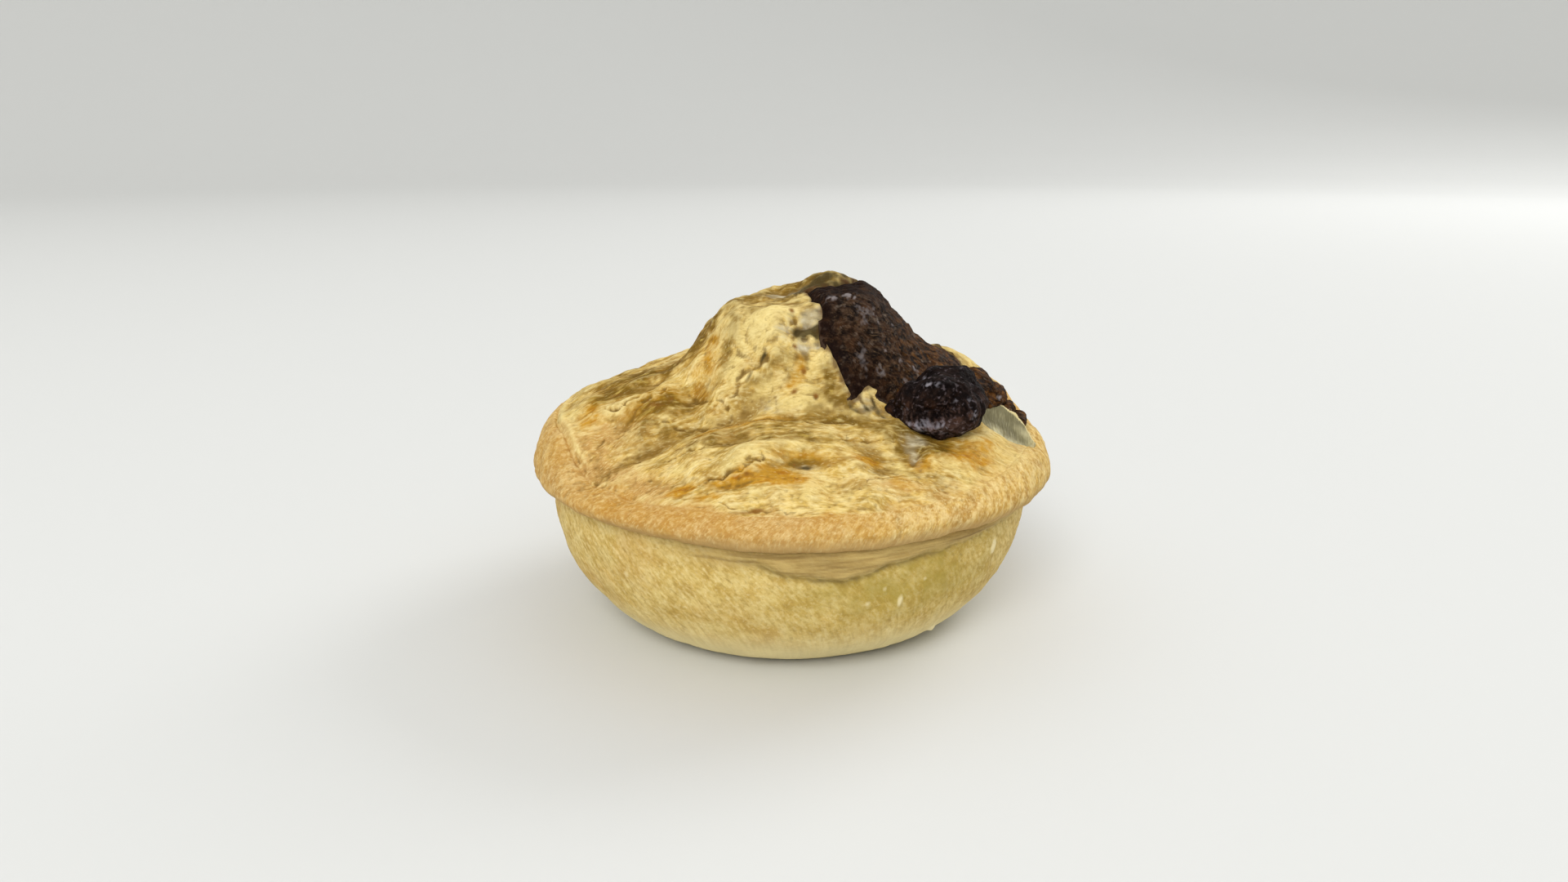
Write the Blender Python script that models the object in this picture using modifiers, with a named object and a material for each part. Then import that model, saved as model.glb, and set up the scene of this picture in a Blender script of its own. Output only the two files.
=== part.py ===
"""A party pie: a small round meat pie whose lid has burst on one side and shows its mince.

The pastry case is a shallow bowl, the pastry lid is a domed crust with a rolled rim and a raised
mound, the mince fills the space between them and swells out of the burst, and one loose lump of
mince lies on the lid beside it. Sizes are in metres, +Z is up, the origin is the middle of the
flat bottom, and the front of the pie looks towards -Y.
"""

import math

import bmesh
import bpy
import numpy as np
from mathutils import Matrix, Vector, noise

MM = 0.001

# The whole pie.
RIM_RADIUS = 32.0 * MM
RIM_RIGHT_SWELL = 0.8 * MM
GAP = 0.4 * MM
SEGMENTS = 60
SHARP_ANGLE = 50.0

# Pastry case: a flat bottom, curved-in sides and a ledge that carries the lid.
BASE_RADIUS = 19.1 * MM
WALL_RADIUS = 29.75 * MM
WALL_CURVE_HEIGHT = 16.0 * MM
WALL_ROUNDNESS = 0.66
STEEP_WALL_HEIGHT = 12.6 * MM
STEEP_WALL_RINGS = 8
CASE_HEIGHT = 17.5 * MM
CASE_THICKNESS = 3.0 * MM
LEDGE_RADIUS = 25.4 * MM
LEDGE_DEPTH = 2.2 * MM
WALL_WAVE = 0.22 * MM
WALL_WAVE_LENGTH = 9.0 * MM
LIP_PROUD = 0.75 * MM
LIP_FRONT_HEIGHT = 14.0 * MM
LIP_SIDE_HEIGHT = 16.6 * MM
LIP_MIDDLE = -78.0
LIP_LEFT_END = -101.0
LIP_RIGHT_END = -12.0
LIP_RISE_END = -37.0
LIP_FADE = 7.0

# Pastry lid: a rolled rim round a domed crust, raised to a mound right of the middle.
SEAM_HEIGHT = CASE_HEIGHT + GAP
SEAM_WAVE = 0.35 * MM
ROLL_HEIGHT = 19.4 * MM
ROLL_UNDERCUT_ANGLE = 49.0
RIM_WAVE = 0.3 * MM
RIM_WAVE_LENGTH = 8.0 * MM
CREASE_RADIUS = 28.8 * MM
CREASE_HEIGHT = 24.0 * MM
FRONT_CREASE_HEIGHT = 21.0 * MM
SIDE_CREASE_HEIGHT = 25.2 * MM
LEFT_APRON_END = (48.0, 68.0)
RIGHT_APRON_END = (35.0, 95.0)
APRON_SPREAD = 25.0
RIGHT_SIDE_SHARE = 0.75
DOME_HEIGHT = 30.6 * MM
FRONT_DOME_POWER = 1.5
SIDE_DOME_POWER = 4.0
LID_THICKNESS = 2.6 * MM
SKIRT_RADIUS = LEDGE_RADIUS + 0.3 * MM
MOUND_MIDDLE = (1.6 * MM, 1.0 * MM)
MOUND_LEFT_REACH = 17.6 * MM
MOUND_RIGHT_REACH = 16.6 * MM
MOUND_FRONT_REACH = 15.0 * MM
MOUND_BACK_REACH = 16.8 * MM
MOUND_SQUARENESS = 2.6
MOUND_PLATEAU = 0.42
MOUND_RISE = 8.8 * MM
MOUND_TILT = 0.11
CROWN_RINGS = 27
WRINKLE_DEPTH = 0.75 * MM
WRINKLE_LENGTH = 9.0 * MM
WRINKLE_WIDTH = 3.4 * MM
WRINKLE_FAN = 0.45
WRINKLE_FAN_START = -6.0 * MM
CRAG_DEPTH = 0.7 * MM
CRAG_WIDTH = 4.2 * MM

# Burst: the outline of the tear in the lid, from its top left end round by the front.
BURST_OUTLINE_MM = (
    (1.9, 0.2),
    (3.2, -4.2),
    (4.3, -8.3),
    (7.6, -10.6),
    (11.6, -10.0),
    (17.6, -8.6),
    (21.6, -5.4),
    (24.2, -3.0),
    (24.9, 0.4),
    (23.6, 4.6),
    (20.6, 7.6),
    (16.0, 8.0),
    (10.5, 5.6),
    (7.0, 2.0),
    (4.2, 0.8),
)
BURST_STEPS = 4
BURST_BOTTOM = 12.0 * MM
BURST_TOP = 50.0 * MM

# Torn inner layer of the crust, standing up behind the gully: x, y of its foot and rim (mm).
FLAP_FOOT_MM = ((21.0, -7.6), (25.0, -6.6), (29.0, -5.2))
FLAP_RIM_MM = ((22.6, -4.6), (26.2, -3.4), (29.6, -2.6))
FLAP_RIM_LIFT = 0.9 * MM
FLAP_FOOT_SINK = 1.2 * MM
FLAP_SAG = 0.7 * MM
FLAP_THICKNESS = 0.9 * MM
FLAP_CELLS = (12, 4)

# Mince filling: it swells a little past the torn crust and has a lumpy face.
FILLING_SWELL = 0.7 * MM
SWELL_MIDDLE = (14.0 * MM, -2.0 * MM)
SWELL_SIZE = (25.0 * MM, 24.0 * MM)
MINCE_GRAIN = 3.4 * MM
MINCE_RELIEF = 0.55 * MM
GRID_CELL = 1.15 * MM
CORE_RADIUS = SKIRT_RADIUS - 0.9 * MM
CORE_RINGS = 10

# Mince spilled from the right end of the tear towards the rim.
SPILL_MIDDLE = (24.9 * MM, 1.9 * MM)
SPILL_REACH = (3.5 * MM, 2.7 * MM)
SPILL_BLOCK = (9.0 * MM, 8.0 * MM)
SPILL_STEPS = 20
SPILL_RAGGED = 0.22
SPILL_LIFT = 0.2 * MM
SPILL_LEAST = 0.8 * MM

# Loose lump of mince on the front right of the lid.
LUMP_MIDDLE = (18.2 * MM, -11.4 * MM, 28.9 * MM)
LUMP_REACH = (5.7 * MM, 5.2 * MM, 4.1 * MM)
LUMP_TURN = -12.0
LUMP_RELIEF = 0.75 * MM
LUMP_GRAIN = 4.0 * MM
LUMP_RINGS = (24, 14)

# Oval hills and hollows of the lid: middle x and y, reach along and across, turn, height (mm, degrees).
LID_HILLS_MM = (
    (17.3, 1.6, 4.6, 6.5, 0.0, 2.9),  # shoulder of the mound, right of its top
    (5.5, 3.5, 3.3, 2.2, 12.0, 2.0),  # hood of crust over the top of the burst
    (23.5, 10.0, 5.0, 4.5, 0.0, 3.5),  # raised crust behind the burst
    (25.0, -6.4, 4.6, 2.4, -10.0, -1.5),  # gully below the torn inner layer
    (27.4, 1.6, 4.0, 3.2, 0.0, -1.5),  # bed of the spilled mince
    (-11.0, 5.5, 1.6, 4.5, 15.0, 1.0),  # fold at the mound's back left
    (-17.5, -7.0, 3.0, 1.6, 20.0, -1.0),  # left hollow
    (-13.0, -6.0, 5.0, 1.7, 25.0, 0.8),  # ridge from the left hollow up to the mound
    (-16.0, 9.0, 7.0, 5.0, 0.0, -1.0),  # sunken back left
    (-4.0, -20.5, 4.6, 1.7, 22.0, 0.8),  # leaf-shaped fold on the apron
    (9.5, -18.5, 1.6, 4.5, 10.0, -0.5),  # cream crease right of the leaf
    (-2.0, -10.8, 6.0, 1.0, 22.0, -0.9),  # crack across the front of the mound
    (-4.0, -7.6, 3.8, 1.9, 30.0, 0.7),  # swollen fold above the crack
    (18.0, -18.0, 7.0, 3.4, 40.0, 0.7),  # full front right shoulder
)


def smooth(low, high, value):
    """0 below low, 1 above high, and a soft step between."""
    share = np.clip((value - low) / (high - low), 0.0, 1.0)
    return share * share * (3.0 - 2.0 * share)


def hill(x, y, middle, reach, turn):
    """1 at the middle of an oval hill, fading to 0 well outside its reach."""
    cosine, sine = math.cos(math.radians(turn)), math.sin(math.radians(turn))
    across, along = x - middle[0], y - middle[1]
    u = (across * cosine + along * sine) / reach[0]
    v = (along * cosine - across * sine) / reach[1]
    return np.exp(-u * u - v * v)


def lumps(x, y, z, length):
    """Even noise from -1 to 1 whose swells are about this long, at each point of three arrays."""
    points = np.stack(np.broadcast_arrays(x, y, z), axis=-1).reshape(-1, 3) / length
    values = [noise.noise(Vector(point)) for point in points]
    return np.array(values).reshape(np.shape(x))


# --- Forms of the pie -------------------------------------------------------------------------


def wall_radius(z):
    """Outer radius of the case at a height: steep at the rim, rolling under to the flat bottom."""
    share = np.clip(1.0 - z / WALL_CURVE_HEIGHT, 0.0, 1.0)
    return BASE_RADIUS + (WALL_RADIUS - BASE_RADIUS) * (1.0 - share**2) ** WALL_ROUNDNESS


def seam_wave(x, y):
    """How far the seam between lid and case rises or dips round the rim."""
    angle = np.arctan2(y, x)
    return SEAM_WAVE * (0.6 * np.sin(2.0 * angle + 0.6) + 0.4 * np.sin(5.0 * angle))


def lip_height(degrees):
    """Height of the lower edge of the case's squeezed-out lip, at an angle round the pie."""
    left = smooth(LIP_LEFT_END, LIP_MIDDLE, degrees)
    right = smooth(LIP_MIDDLE, LIP_RISE_END, degrees)
    low = LIP_SIDE_HEIGHT + left * (LIP_FRONT_HEIGHT - LIP_SIDE_HEIGHT)
    return low + right * (LIP_SIDE_HEIGHT - LIP_FRONT_HEIGHT)


def lip_share(x, y, z):
    """1 on the lip, 0 off it."""
    degrees = np.degrees(np.arctan2(y, x))
    edge = lip_height(degrees)
    ends = smooth(LIP_LEFT_END - LIP_FADE, LIP_LEFT_END + LIP_FADE, degrees)
    ends = ends * (1.0 - smooth(LIP_RIGHT_END - LIP_FADE, LIP_RIGHT_END + LIP_FADE, degrees))
    return ends * smooth(edge - 0.5 * MM, edge + 0.5 * MM, z)


def side_share(x, y):
    """0 on the low apron at the front of the lid, 1 round its higher left side and back."""
    spread = APRON_SPREAD * (1.0 - np.clip(np.hypot(x, y) / CREASE_RADIUS, 0.0, 1.0))
    angle = np.degrees(np.abs(np.arctan2(x, -y)))
    left = smooth(LEFT_APRON_END[0] - spread, LEFT_APRON_END[1] + spread, angle)
    right = smooth(RIGHT_APRON_END[0] - spread, RIGHT_APRON_END[1] + spread, angle)
    back = smooth(0.0, 1.0, -y / CREASE_RADIUS + 1.0)
    right = right * (1.0 - (1.0 - RIGHT_SIDE_SHARE) * back)
    return np.where(x < 0.0, left, right)


def crease_height(x, y):
    """Height at which the rolled rim meets the domed crust."""
    return FRONT_CREASE_HEIGHT + side_share(x, y) * (SIDE_CREASE_HEIGHT - FRONT_CREASE_HEIGHT)


def lid_form(x, y):
    """Height of the lid's smooth form: the dome and the mound."""
    share = side_share(x, y)
    crease = crease_height(x, y)
    power = FRONT_DOME_POWER + share * (SIDE_DOME_POWER - FRONT_DOME_POWER)
    outward = np.clip(np.hypot(x, y) / CREASE_RADIUS, 1e-6, 1.0)
    dome = crease + (DOME_HEIGHT - crease) * (1.0 - outward**power)
    dx, dy = x - MOUND_MIDDLE[0], y - MOUND_MIDDLE[1]
    side = np.abs(dx) / np.where(dx < 0.0, MOUND_LEFT_REACH, MOUND_RIGHT_REACH)
    deep = np.abs(dy) / np.where(dy < 0.0, MOUND_FRONT_REACH, MOUND_BACK_REACH)
    far = (side**MOUND_SQUARENESS + deep**MOUND_SQUARENESS) ** (1.0 / MOUND_SQUARENESS)
    mound = (MOUND_RISE + MOUND_TILT * dx) * (1.0 - smooth(MOUND_PLATEAU, 1.0, far))
    shoulder = LID_HILLS_MM[0]
    return dome + mound + one_hill(x, y, shoulder)


def one_hill(x, y, row):
    """Height that one row of LID_HILLS_MM adds."""
    middle = (row[0] * MM, row[1] * MM)
    return row[5] * MM * hill(x, y, middle, (row[2] * MM, row[3] * MM), row[4])


def wrinkles(x, y):
    """Long low wrinkles that run from side to side and fan up the left, with rounder crags."""
    fan = y + WRINKLE_FAN * np.maximum(WRINKLE_FAN_START - x, 0.0)
    long = lumps(x / WRINKLE_LENGTH, fan / WRINKLE_WIDTH, 0.0 * x, 1.0)
    crags = lumps(x, y, 0.0 * x, CRAG_WIDTH)
    calm = 1.0 - 0.6 * smooth(0.8, 1.0, np.hypot(x, y) / CREASE_RADIUS)
    return (WRINKLE_DEPTH * long + CRAG_DEPTH * crags) * calm


def lid_top(x, y):
    """Height of the lid's outer face with its folds."""
    folds = sum(one_hill(x, y, row) for row in LID_HILLS_MM[1:])
    return lid_form(x, y) + folds + wrinkles(x, y)


def lid_under(x, y):
    """Height of the lid's inner face."""
    return lid_form(x, y) - LID_THICKNESS


def filling_top(x, y):
    """Height of the mince where it shows in the burst."""
    behind = one_hill(x, y, LID_HILLS_MM[2])
    relief = lumps(x, y, 0.0 * x, MINCE_GRAIN) + 0.6 * lumps(x, y, 0.0 * x, 0.6 * MINCE_GRAIN)
    return lid_form(x, y) + behind + FILLING_SWELL + MINCE_RELIEF * relief


def burst_outline(inset):
    """Points of the smooth closed tear in the lid, drawn in by this much."""
    corners = np.array(BURST_OUTLINE_MM) * MM
    before, after = np.roll(corners, 1, axis=0), np.roll(corners, -1, axis=0)
    later = np.roll(corners, -2, axis=0)
    points = []
    for share in np.arange(BURST_STEPS) / BURST_STEPS:
        curve = 2.0 * corners + (after - before) * share
        curve = curve + (2.0 * before - 5.0 * corners + 4.0 * after - later) * share**2
        curve = curve + (3.0 * corners - before - 3.0 * after + later) * share**3
        points.append(0.5 * curve)
    points = np.stack(points, axis=1).reshape(-1, 2)
    run = np.roll(points, -1, axis=0) - np.roll(points, 1, axis=0)
    inward = np.stack([-run[:, 1], run[:, 0]], axis=1)
    inward = inward / np.linalg.norm(inward, axis=1, keepdims=True)
    return points + inset * inward


# --- Making solids ----------------------------------------------------------------------------


def clear_scene():
    for thing in list(bpy.data.objects):
        bpy.data.objects.remove(thing, do_unlink=True)


def collection(name, shown):
    group = bpy.data.collections.new(name)
    group.hide_render = not shown
    bpy.context.scene.collection.children.link(group)
    return group


def plain_material(name, colour, roughness):
    """A plain matt material of one colour."""
    material = bpy.data.materials.new(name)
    material.use_nodes = True
    shader = material.node_tree.nodes["Principled BSDF"]
    shader.inputs["Base Color"].default_value = (*colour, 1.0)
    shader.inputs["Roughness"].default_value = roughness
    shader.inputs["Metallic"].default_value = 0.0
    return material


def place(name, mesh, group):
    thing = bpy.data.objects.new(name, mesh)
    group.objects.link(thing)
    return thing


def apply_modifiers(thing):
    """Makes the modified shape the object's own mesh."""
    bpy.context.view_layer.update()
    seen = thing.evaluated_get(bpy.context.evaluated_depsgraph_get())
    mesh = bpy.data.meshes.new_from_object(seen)
    thing.modifiers.clear()
    thing.data = mesh


def turned(name, profile, group):
    """A solid turned round +Z from (radius, height) points, listed down its outer side."""
    mesh = bpy.data.meshes.new(name)
    edges = [(index, index + 1) for index in range(len(profile) - 1)]
    mesh.from_pydata([(radius, 0.0, height) for radius, height in profile], edges, [])
    thing = place(name, mesh, group)
    screw = thing.modifiers.new("Turn", "SCREW")
    screw.steps = SEGMENTS
    screw.render_steps = SEGMENTS
    screw.use_merge_vertices = True
    screw.merge_threshold = 0.01 * MM
    apply_modifiers(thing)
    return thing


def points_of(thing):
    points = np.empty(len(thing.data.vertices) * 3)
    thing.data.vertices.foreach_get("co", points)
    return points.reshape(-1, 3)


def move_points(thing, points):
    thing.data.vertices.foreach_set("co", points.ravel())
    thing.data.update()


def join(thing, other, operation):
    """Adds the other object's shape, cuts it away, or keeps only what lies inside it."""
    boolean = thing.modifiers.new("Join", "BOOLEAN")
    boolean.operation = operation
    boolean.object = other
    apply_modifiers(thing)


def finish(thing, material):
    thing.data.materials.clear()
    thing.data.materials.append(material)
    thing.data.shade_smooth()
    thing.data.set_sharp_from_angle(angle=math.radians(SHARP_ANGLE))


def prism(name, outline, group):
    """An upright prism on a closed outline, used to cut or trim."""
    shape = bmesh.new()
    corners = [shape.verts.new((x, y, BURST_BOTTOM)) for x, y in outline]
    floor = shape.faces.new(corners)
    raised = bmesh.ops.extrude_face_region(shape, geom=[floor])
    top = [part for part in raised["geom"] if isinstance(part, bmesh.types.BMVert)]
    bmesh.ops.translate(shape, verts=top, vec=(0.0, 0.0, BURST_TOP - BURST_BOTTOM))
    bmesh.ops.recalc_face_normals(shape, faces=shape.faces)
    mesh = bpy.data.meshes.new(name)
    shape.to_mesh(mesh)
    shape.free()
    cutter = place(name, mesh, group)
    cutter.hide_render = True
    cutter.display_type = "WIRE"
    return cutter


# --- The pieces -------------------------------------------------------------------------------


def even(start, end, count):
    return [float(value) for value in np.linspace(start, end, count)]


def make_case(group):
    """The bowl of pastry with a ledge on top and a lip squeezed out at the front right."""
    inner = hollow_profile(0.0)[::-1]
    ledge = [(radius, CASE_HEIGHT) for radius in even(LEDGE_RADIUS, WALL_RADIUS, 3)[:-1]]
    steep = even(CASE_HEIGHT, STEEP_WALL_HEIGHT, STEEP_WALL_RINGS)
    under = [STEEP_WALL_HEIGHT * share**1.6 for share in even(1.0, 0.0, STEEP_WALL_RINGS + 1)[1:-1]]
    outer = [(float(wall_radius(height)), height) for height in steep + under]
    bottom = [(radius, 0.0) for radius in even(BASE_RADIUS, 0.0, 3)]
    case = turned("pastry_case", inner + ledge + outer + bottom, group)
    points = points_of(case)
    x, y, z = points.T
    radius = np.hypot(x, y)
    outside = smooth(-0.4 * MM, -0.1 * MM, radius - wall_radius(z)) * smooth(0.0, 3.0 * MM, z)
    proud = LIP_PROUD * lip_share(x, y, z) + WALL_WAVE * lumps(x, y, z, WALL_WAVE_LENGTH)
    points[:, :2] *= (1.0 + proud * outside / np.maximum(radius, MM))[:, None]
    points[:, 2] += seam_wave(x, y) * smooth(0.8, 1.0, z / CASE_HEIGHT)
    move_points(case, points)
    return case


def hollow_profile(inset):
    """The case's hollow from below the ledge down to the middle of its floor, drawn in by inset."""
    profile = []
    for height in even(CASE_HEIGHT - LEDGE_DEPTH, CASE_THICKNESS + 0.8 * MM, 5):
        radius = float(wall_radius(height - 0.6 * CASE_THICKNESS)) - 0.8 * CASE_THICKNESS
        profile.append((min(radius, LEDGE_RADIUS) - inset, height))
    floor = CASE_THICKNESS + inset
    return profile + [(radius, floor) for radius in even(BASE_RADIUS - 2.0 * MM, 0.0, 3)]


def make_lid(group):
    """The crust: turned as a flat lid with a rolled rim, then raised to its dome and mound."""
    roll = RIM_RADIUS - CREASE_RADIUS
    profile = [(radius, CREASE_HEIGHT) for radius in even(0.0, CREASE_RADIUS, CROWN_RINGS)]
    for angle in even(72.0, 0.0, 5):
        turn = math.radians(angle)
        height = ROLL_HEIGHT + (CREASE_HEIGHT - ROLL_HEIGHT) * math.sin(turn)
        profile.append((CREASE_RADIUS + roll * math.cos(turn), height))
    lower = (ROLL_HEIGHT - SEAM_HEIGHT) / math.sin(math.radians(ROLL_UNDERCUT_ANGLE))
    for angle in even(0.0, ROLL_UNDERCUT_ANGLE, 4)[1:]:
        turn = math.radians(angle)
        profile.append((CREASE_RADIUS + roll * math.cos(turn), ROLL_HEIGHT - lower * math.sin(turn)))
    under = CREASE_HEIGHT - LID_THICKNESS
    profile += [(radius, SEAM_HEIGHT) for radius in even(profile[-1][0], SKIRT_RADIUS, 3)[1:]]
    profile += [(SKIRT_RADIUS - GAP, under)]
    profile += [(radius, under) for radius in even(CORE_RADIUS, 0.0, CORE_RINGS)]
    lid = turned("pastry_lid", profile, group)
    points = points_of(lid)
    x, y, z = points.T
    radius = np.hypot(x, y)
    inside = (radius < SKIRT_RADIUS + 0.1 * MM) & (z < CREASE_HEIGHT - 0.5 * LID_THICKNESS)
    crown = (z > CREASE_HEIGHT - 0.01 * MM) & (radius < CREASE_RADIUS + 0.01 * MM)
    rise = np.clip((z - ROLL_HEIGHT) / (CREASE_HEIGHT - ROLL_HEIGHT), 0.0, 1.0)
    straighter = rise ** (1.0 + 0.45 * side_share(x, y))
    roll_top = ROLL_HEIGHT + straighter * (crease_height(x, y) - ROLL_HEIGHT)
    below = z + seam_wave(x, y) * smooth(ROLL_HEIGHT, SEAM_HEIGHT, z)
    up = (z - SEAM_HEIGHT) / (under - SEAM_HEIGHT)
    inner = SEAM_HEIGHT + seam_wave(x, y) * (1.0 - up) + up * (lid_under(x, y) - SEAM_HEIGHT)
    points[:, 2] = np.where(inside, inner, np.where(z > ROLL_HEIGHT, roll_top, below))
    points[crown, 2] = lid_top(x[crown], y[crown])
    right = np.maximum(x, 0.0) / np.maximum(radius, MM)
    wave = RIM_WAVE * lumps(x, y, z, RIM_WAVE_LENGTH) + RIM_RIGHT_SWELL * right**2
    wave = wave * smooth(0.96, 1.02, radius / CREASE_RADIUS)
    points[:, :2] *= (1.0 + wave / np.maximum(radius, MM))[:, None]
    move_points(lid, points)
    return lid


def curve_through(corners, share):
    """Point on the smooth curve through three named points, at a share of its length."""
    start, middle, end = np.array(corners) * MM
    bend = 2.0 * middle - 0.5 * (start + end)
    return (1.0 - share) ** 2 * start + 2.0 * share * (1.0 - share) * bend + share**2 * end


def make_flap():
    """The torn inner layer: a thin sheet from the gully's foot up to a free rim."""
    bpy.ops.mesh.primitive_grid_add(x_subdivisions=FLAP_CELLS[0], y_subdivisions=FLAP_CELLS[1], size=1.0)
    flap = bpy.context.object
    points = points_of(flap)
    for point in points:
        along, up = float(point[0]) + 0.5, float(point[1]) + 0.5
        foot, rim = curve_through(FLAP_FOOT_MM, along), curve_through(FLAP_RIM_MM, along)
        low = float(lid_form(*foot)) - FLAP_FOOT_SINK
        high = float(lid_form(*rim)) + FLAP_RIM_LIFT * math.sin(math.pi * (0.12 + 0.8 * along))
        point[:2] = foot + up * (rim - foot)
        point[2] = low + up * (high - low) - FLAP_SAG * math.sin(math.pi * up)
    move_points(flap, points)
    thick = flap.modifiers.new("Thickness", "SOLIDIFY")
    thick.thickness = FLAP_THICKNESS
    thick.offset = -1.0
    apply_modifiers(flap)
    return flap


def make_filling(group, helpers):
    """The mince: a core between case and lid, and what swells out of the tear."""
    under = CREASE_HEIGHT - LID_THICKNESS - GAP
    profile = [(radius, under) for radius in even(0.0, CORE_RADIUS, CORE_RINGS)]
    profile += [(CORE_RADIUS, SEAM_HEIGHT)]
    core = turned("mince_filling", profile + hollow_profile(GAP), group)
    points = points_of(core)
    x, y, z = points.T
    up = np.clip((z - SEAM_HEIGHT) / (under - SEAM_HEIGHT), 0.0, 1.0)
    points[:, 2] = z + up * (lid_under(x, y) - GAP - z)
    move_points(core, points)

    swell = height_block("swell", SWELL_MIDDLE, SWELL_SIZE, group)
    set_faces(swell, BURST_BOTTOM + 2.0 * MM, filling_top)
    join(swell, prism("swell_outline", burst_outline(GAP), helpers), "INTERSECT")
    spill = height_block("spill", SPILL_MIDDLE, SPILL_BLOCK, group)
    set_faces(spill, spill_under, spill_top)
    angles = np.linspace(0.0, 2.0 * math.pi, SPILL_STEPS, endpoint=False)
    ragged = 1.0 + SPILL_RAGGED * np.sin(3.0 * angles + 1.0) * np.cos(2.0 * angles)
    oval = np.stack([ragged * np.cos(angles), ragged * np.sin(angles)], axis=1)
    oval = oval * SPILL_REACH + SPILL_MIDDLE
    join(spill, prism("spill_outline", oval, helpers), "INTERSECT")
    for piece in (swell, spill):
        join(core, piece, "UNION")
        bpy.data.objects.remove(piece, do_unlink=True)
    return core


def spill_under(x, y):
    return lid_top(x, y) + 1.3 * GAP


def spill_top(x, y):
    return np.maximum(filling_top(x, y) + SPILL_LIFT, spill_under(x, y) + SPILL_LEAST)


def height_block(name, middle, size, group):
    """A thin block of square cells with a top and a bottom face, to be set to heights."""
    bpy.ops.mesh.primitive_grid_add(
        x_subdivisions=round(size[0] / GRID_CELL),
        y_subdivisions=round(size[1] / GRID_CELL),
        size=1.0,
        location=(0.0, 0.0, 0.0),
    )
    flat = bpy.context.object
    mesh = flat.data.copy()
    bpy.data.objects.remove(flat, do_unlink=True)
    mesh.transform(Matrix.Translation((*middle, 0.0)) @ Matrix.Diagonal((*size, 1.0, 1.0)))
    shape = bmesh.new()
    shape.from_mesh(mesh)
    raised = bmesh.ops.extrude_face_region(shape, geom=list(shape.faces))
    top = [part for part in raised["geom"] if isinstance(part, bmesh.types.BMVert)]
    bmesh.ops.translate(shape, verts=top, vec=(0.0, 0.0, MM))
    bmesh.ops.recalc_face_normals(shape, faces=shape.faces)
    shape.to_mesh(mesh)
    shape.free()
    return place(name, mesh, group)


def set_faces(block, under, top):
    """Sets a block's bottom to a level or a height function, and its top to a height function."""
    points = points_of(block)
    x, y, z = points.T
    low = under(x, y) if callable(under) else under
    points[:, 2] = np.where(z > 0.5 * MM, top(x, y), low)
    move_points(block, points)


def make_lump(group):
    """The loose lump: an uneven ball whose underside follows what it lies on."""
    shape = bmesh.new()
    bmesh.ops.create_uvsphere(shape, u_segments=LUMP_RINGS[0], v_segments=LUMP_RINGS[1], radius=1.0)
    mesh = bpy.data.meshes.new("mince_lump")
    shape.to_mesh(mesh)
    shape.free()
    lump = place("mince_lump", mesh, group)
    way = points_of(lump)
    turn = math.radians(LUMP_TURN)
    x = way[:, 0] * math.cos(turn) - way[:, 1] * math.sin(turn)
    y = way[:, 0] * math.sin(turn) + way[:, 1] * math.cos(turn)
    way = np.stack([x, y, way[:, 2]], axis=1)
    points = np.array(LUMP_MIDDLE) + way * np.array(LUMP_REACH)
    relief = lumps(*points.T, LUMP_GRAIN) + 0.5 * lumps(*points.T, 0.55 * LUMP_GRAIN)
    points += way * (LUMP_RELIEF * relief)[:, None]
    ground = np.maximum(lid_top(points[:, 0], points[:, 1]), filling_top(points[:, 0], points[:, 1]))
    points[:, 2] = np.maximum(points[:, 2], ground + 1.5 * GAP)
    move_points(lump, points)
    return lump


def main():
    clear_scene()
    group = collection("party_pie", True)
    helpers = collection("cutters", False)
    case_crust = plain_material("case_pastry", (0.56, 0.42, 0.17), 0.75)
    lid_crust = plain_material("lid_pastry", (0.66, 0.43, 0.13), 0.7)
    mince = plain_material("cooked_mince", (0.055, 0.022, 0.012), 0.5)
    dark_mince = plain_material("dark_mince", (0.03, 0.014, 0.01), 0.5)
    finish(make_case(group), case_crust)
    lid = make_lid(group)
    flap = make_flap()
    join(lid, flap, "UNION")
    bpy.data.objects.remove(flap, do_unlink=True)
    join(lid, prism("burst_outline", burst_outline(0.0), helpers), "DIFFERENCE")
    finish(lid, lid_crust)
    finish(make_filling(group, helpers), mince)
    finish(make_lump(group), dark_mince)


main()
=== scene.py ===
"""Looks of the party pie: crust, rolled rim, case, mince and crumbs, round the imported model.

The frame is the model's: +Z up, the origin in the middle of the flat bottom, the front towards -Y.
Every size is in millimetres; MM turns them into Blender's metres where a mesh or a node takes them.
"""

import itertools
import math

import bpy
import numpy as np
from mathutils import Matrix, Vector, noise


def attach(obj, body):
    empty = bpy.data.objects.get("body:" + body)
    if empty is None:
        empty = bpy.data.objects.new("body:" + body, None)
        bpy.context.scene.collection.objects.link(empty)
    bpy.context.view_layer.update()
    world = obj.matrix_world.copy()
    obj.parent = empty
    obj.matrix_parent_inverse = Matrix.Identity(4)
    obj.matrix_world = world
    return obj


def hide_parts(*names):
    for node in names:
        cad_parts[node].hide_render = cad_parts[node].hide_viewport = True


MM = 0.001

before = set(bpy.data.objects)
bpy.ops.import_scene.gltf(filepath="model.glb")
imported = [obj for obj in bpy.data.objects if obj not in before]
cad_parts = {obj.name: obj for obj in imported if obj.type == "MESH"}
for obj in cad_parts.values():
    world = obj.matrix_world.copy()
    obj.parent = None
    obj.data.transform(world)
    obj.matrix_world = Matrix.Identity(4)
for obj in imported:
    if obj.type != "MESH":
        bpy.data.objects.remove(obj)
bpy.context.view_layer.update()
bpy.ops.object.select_all(action="DESELECT")

# --- Driving sizes, the same as the model's ---

RIM_RADIUS = 32.0
RIM_RIGHT_SWELL = 0.8

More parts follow.
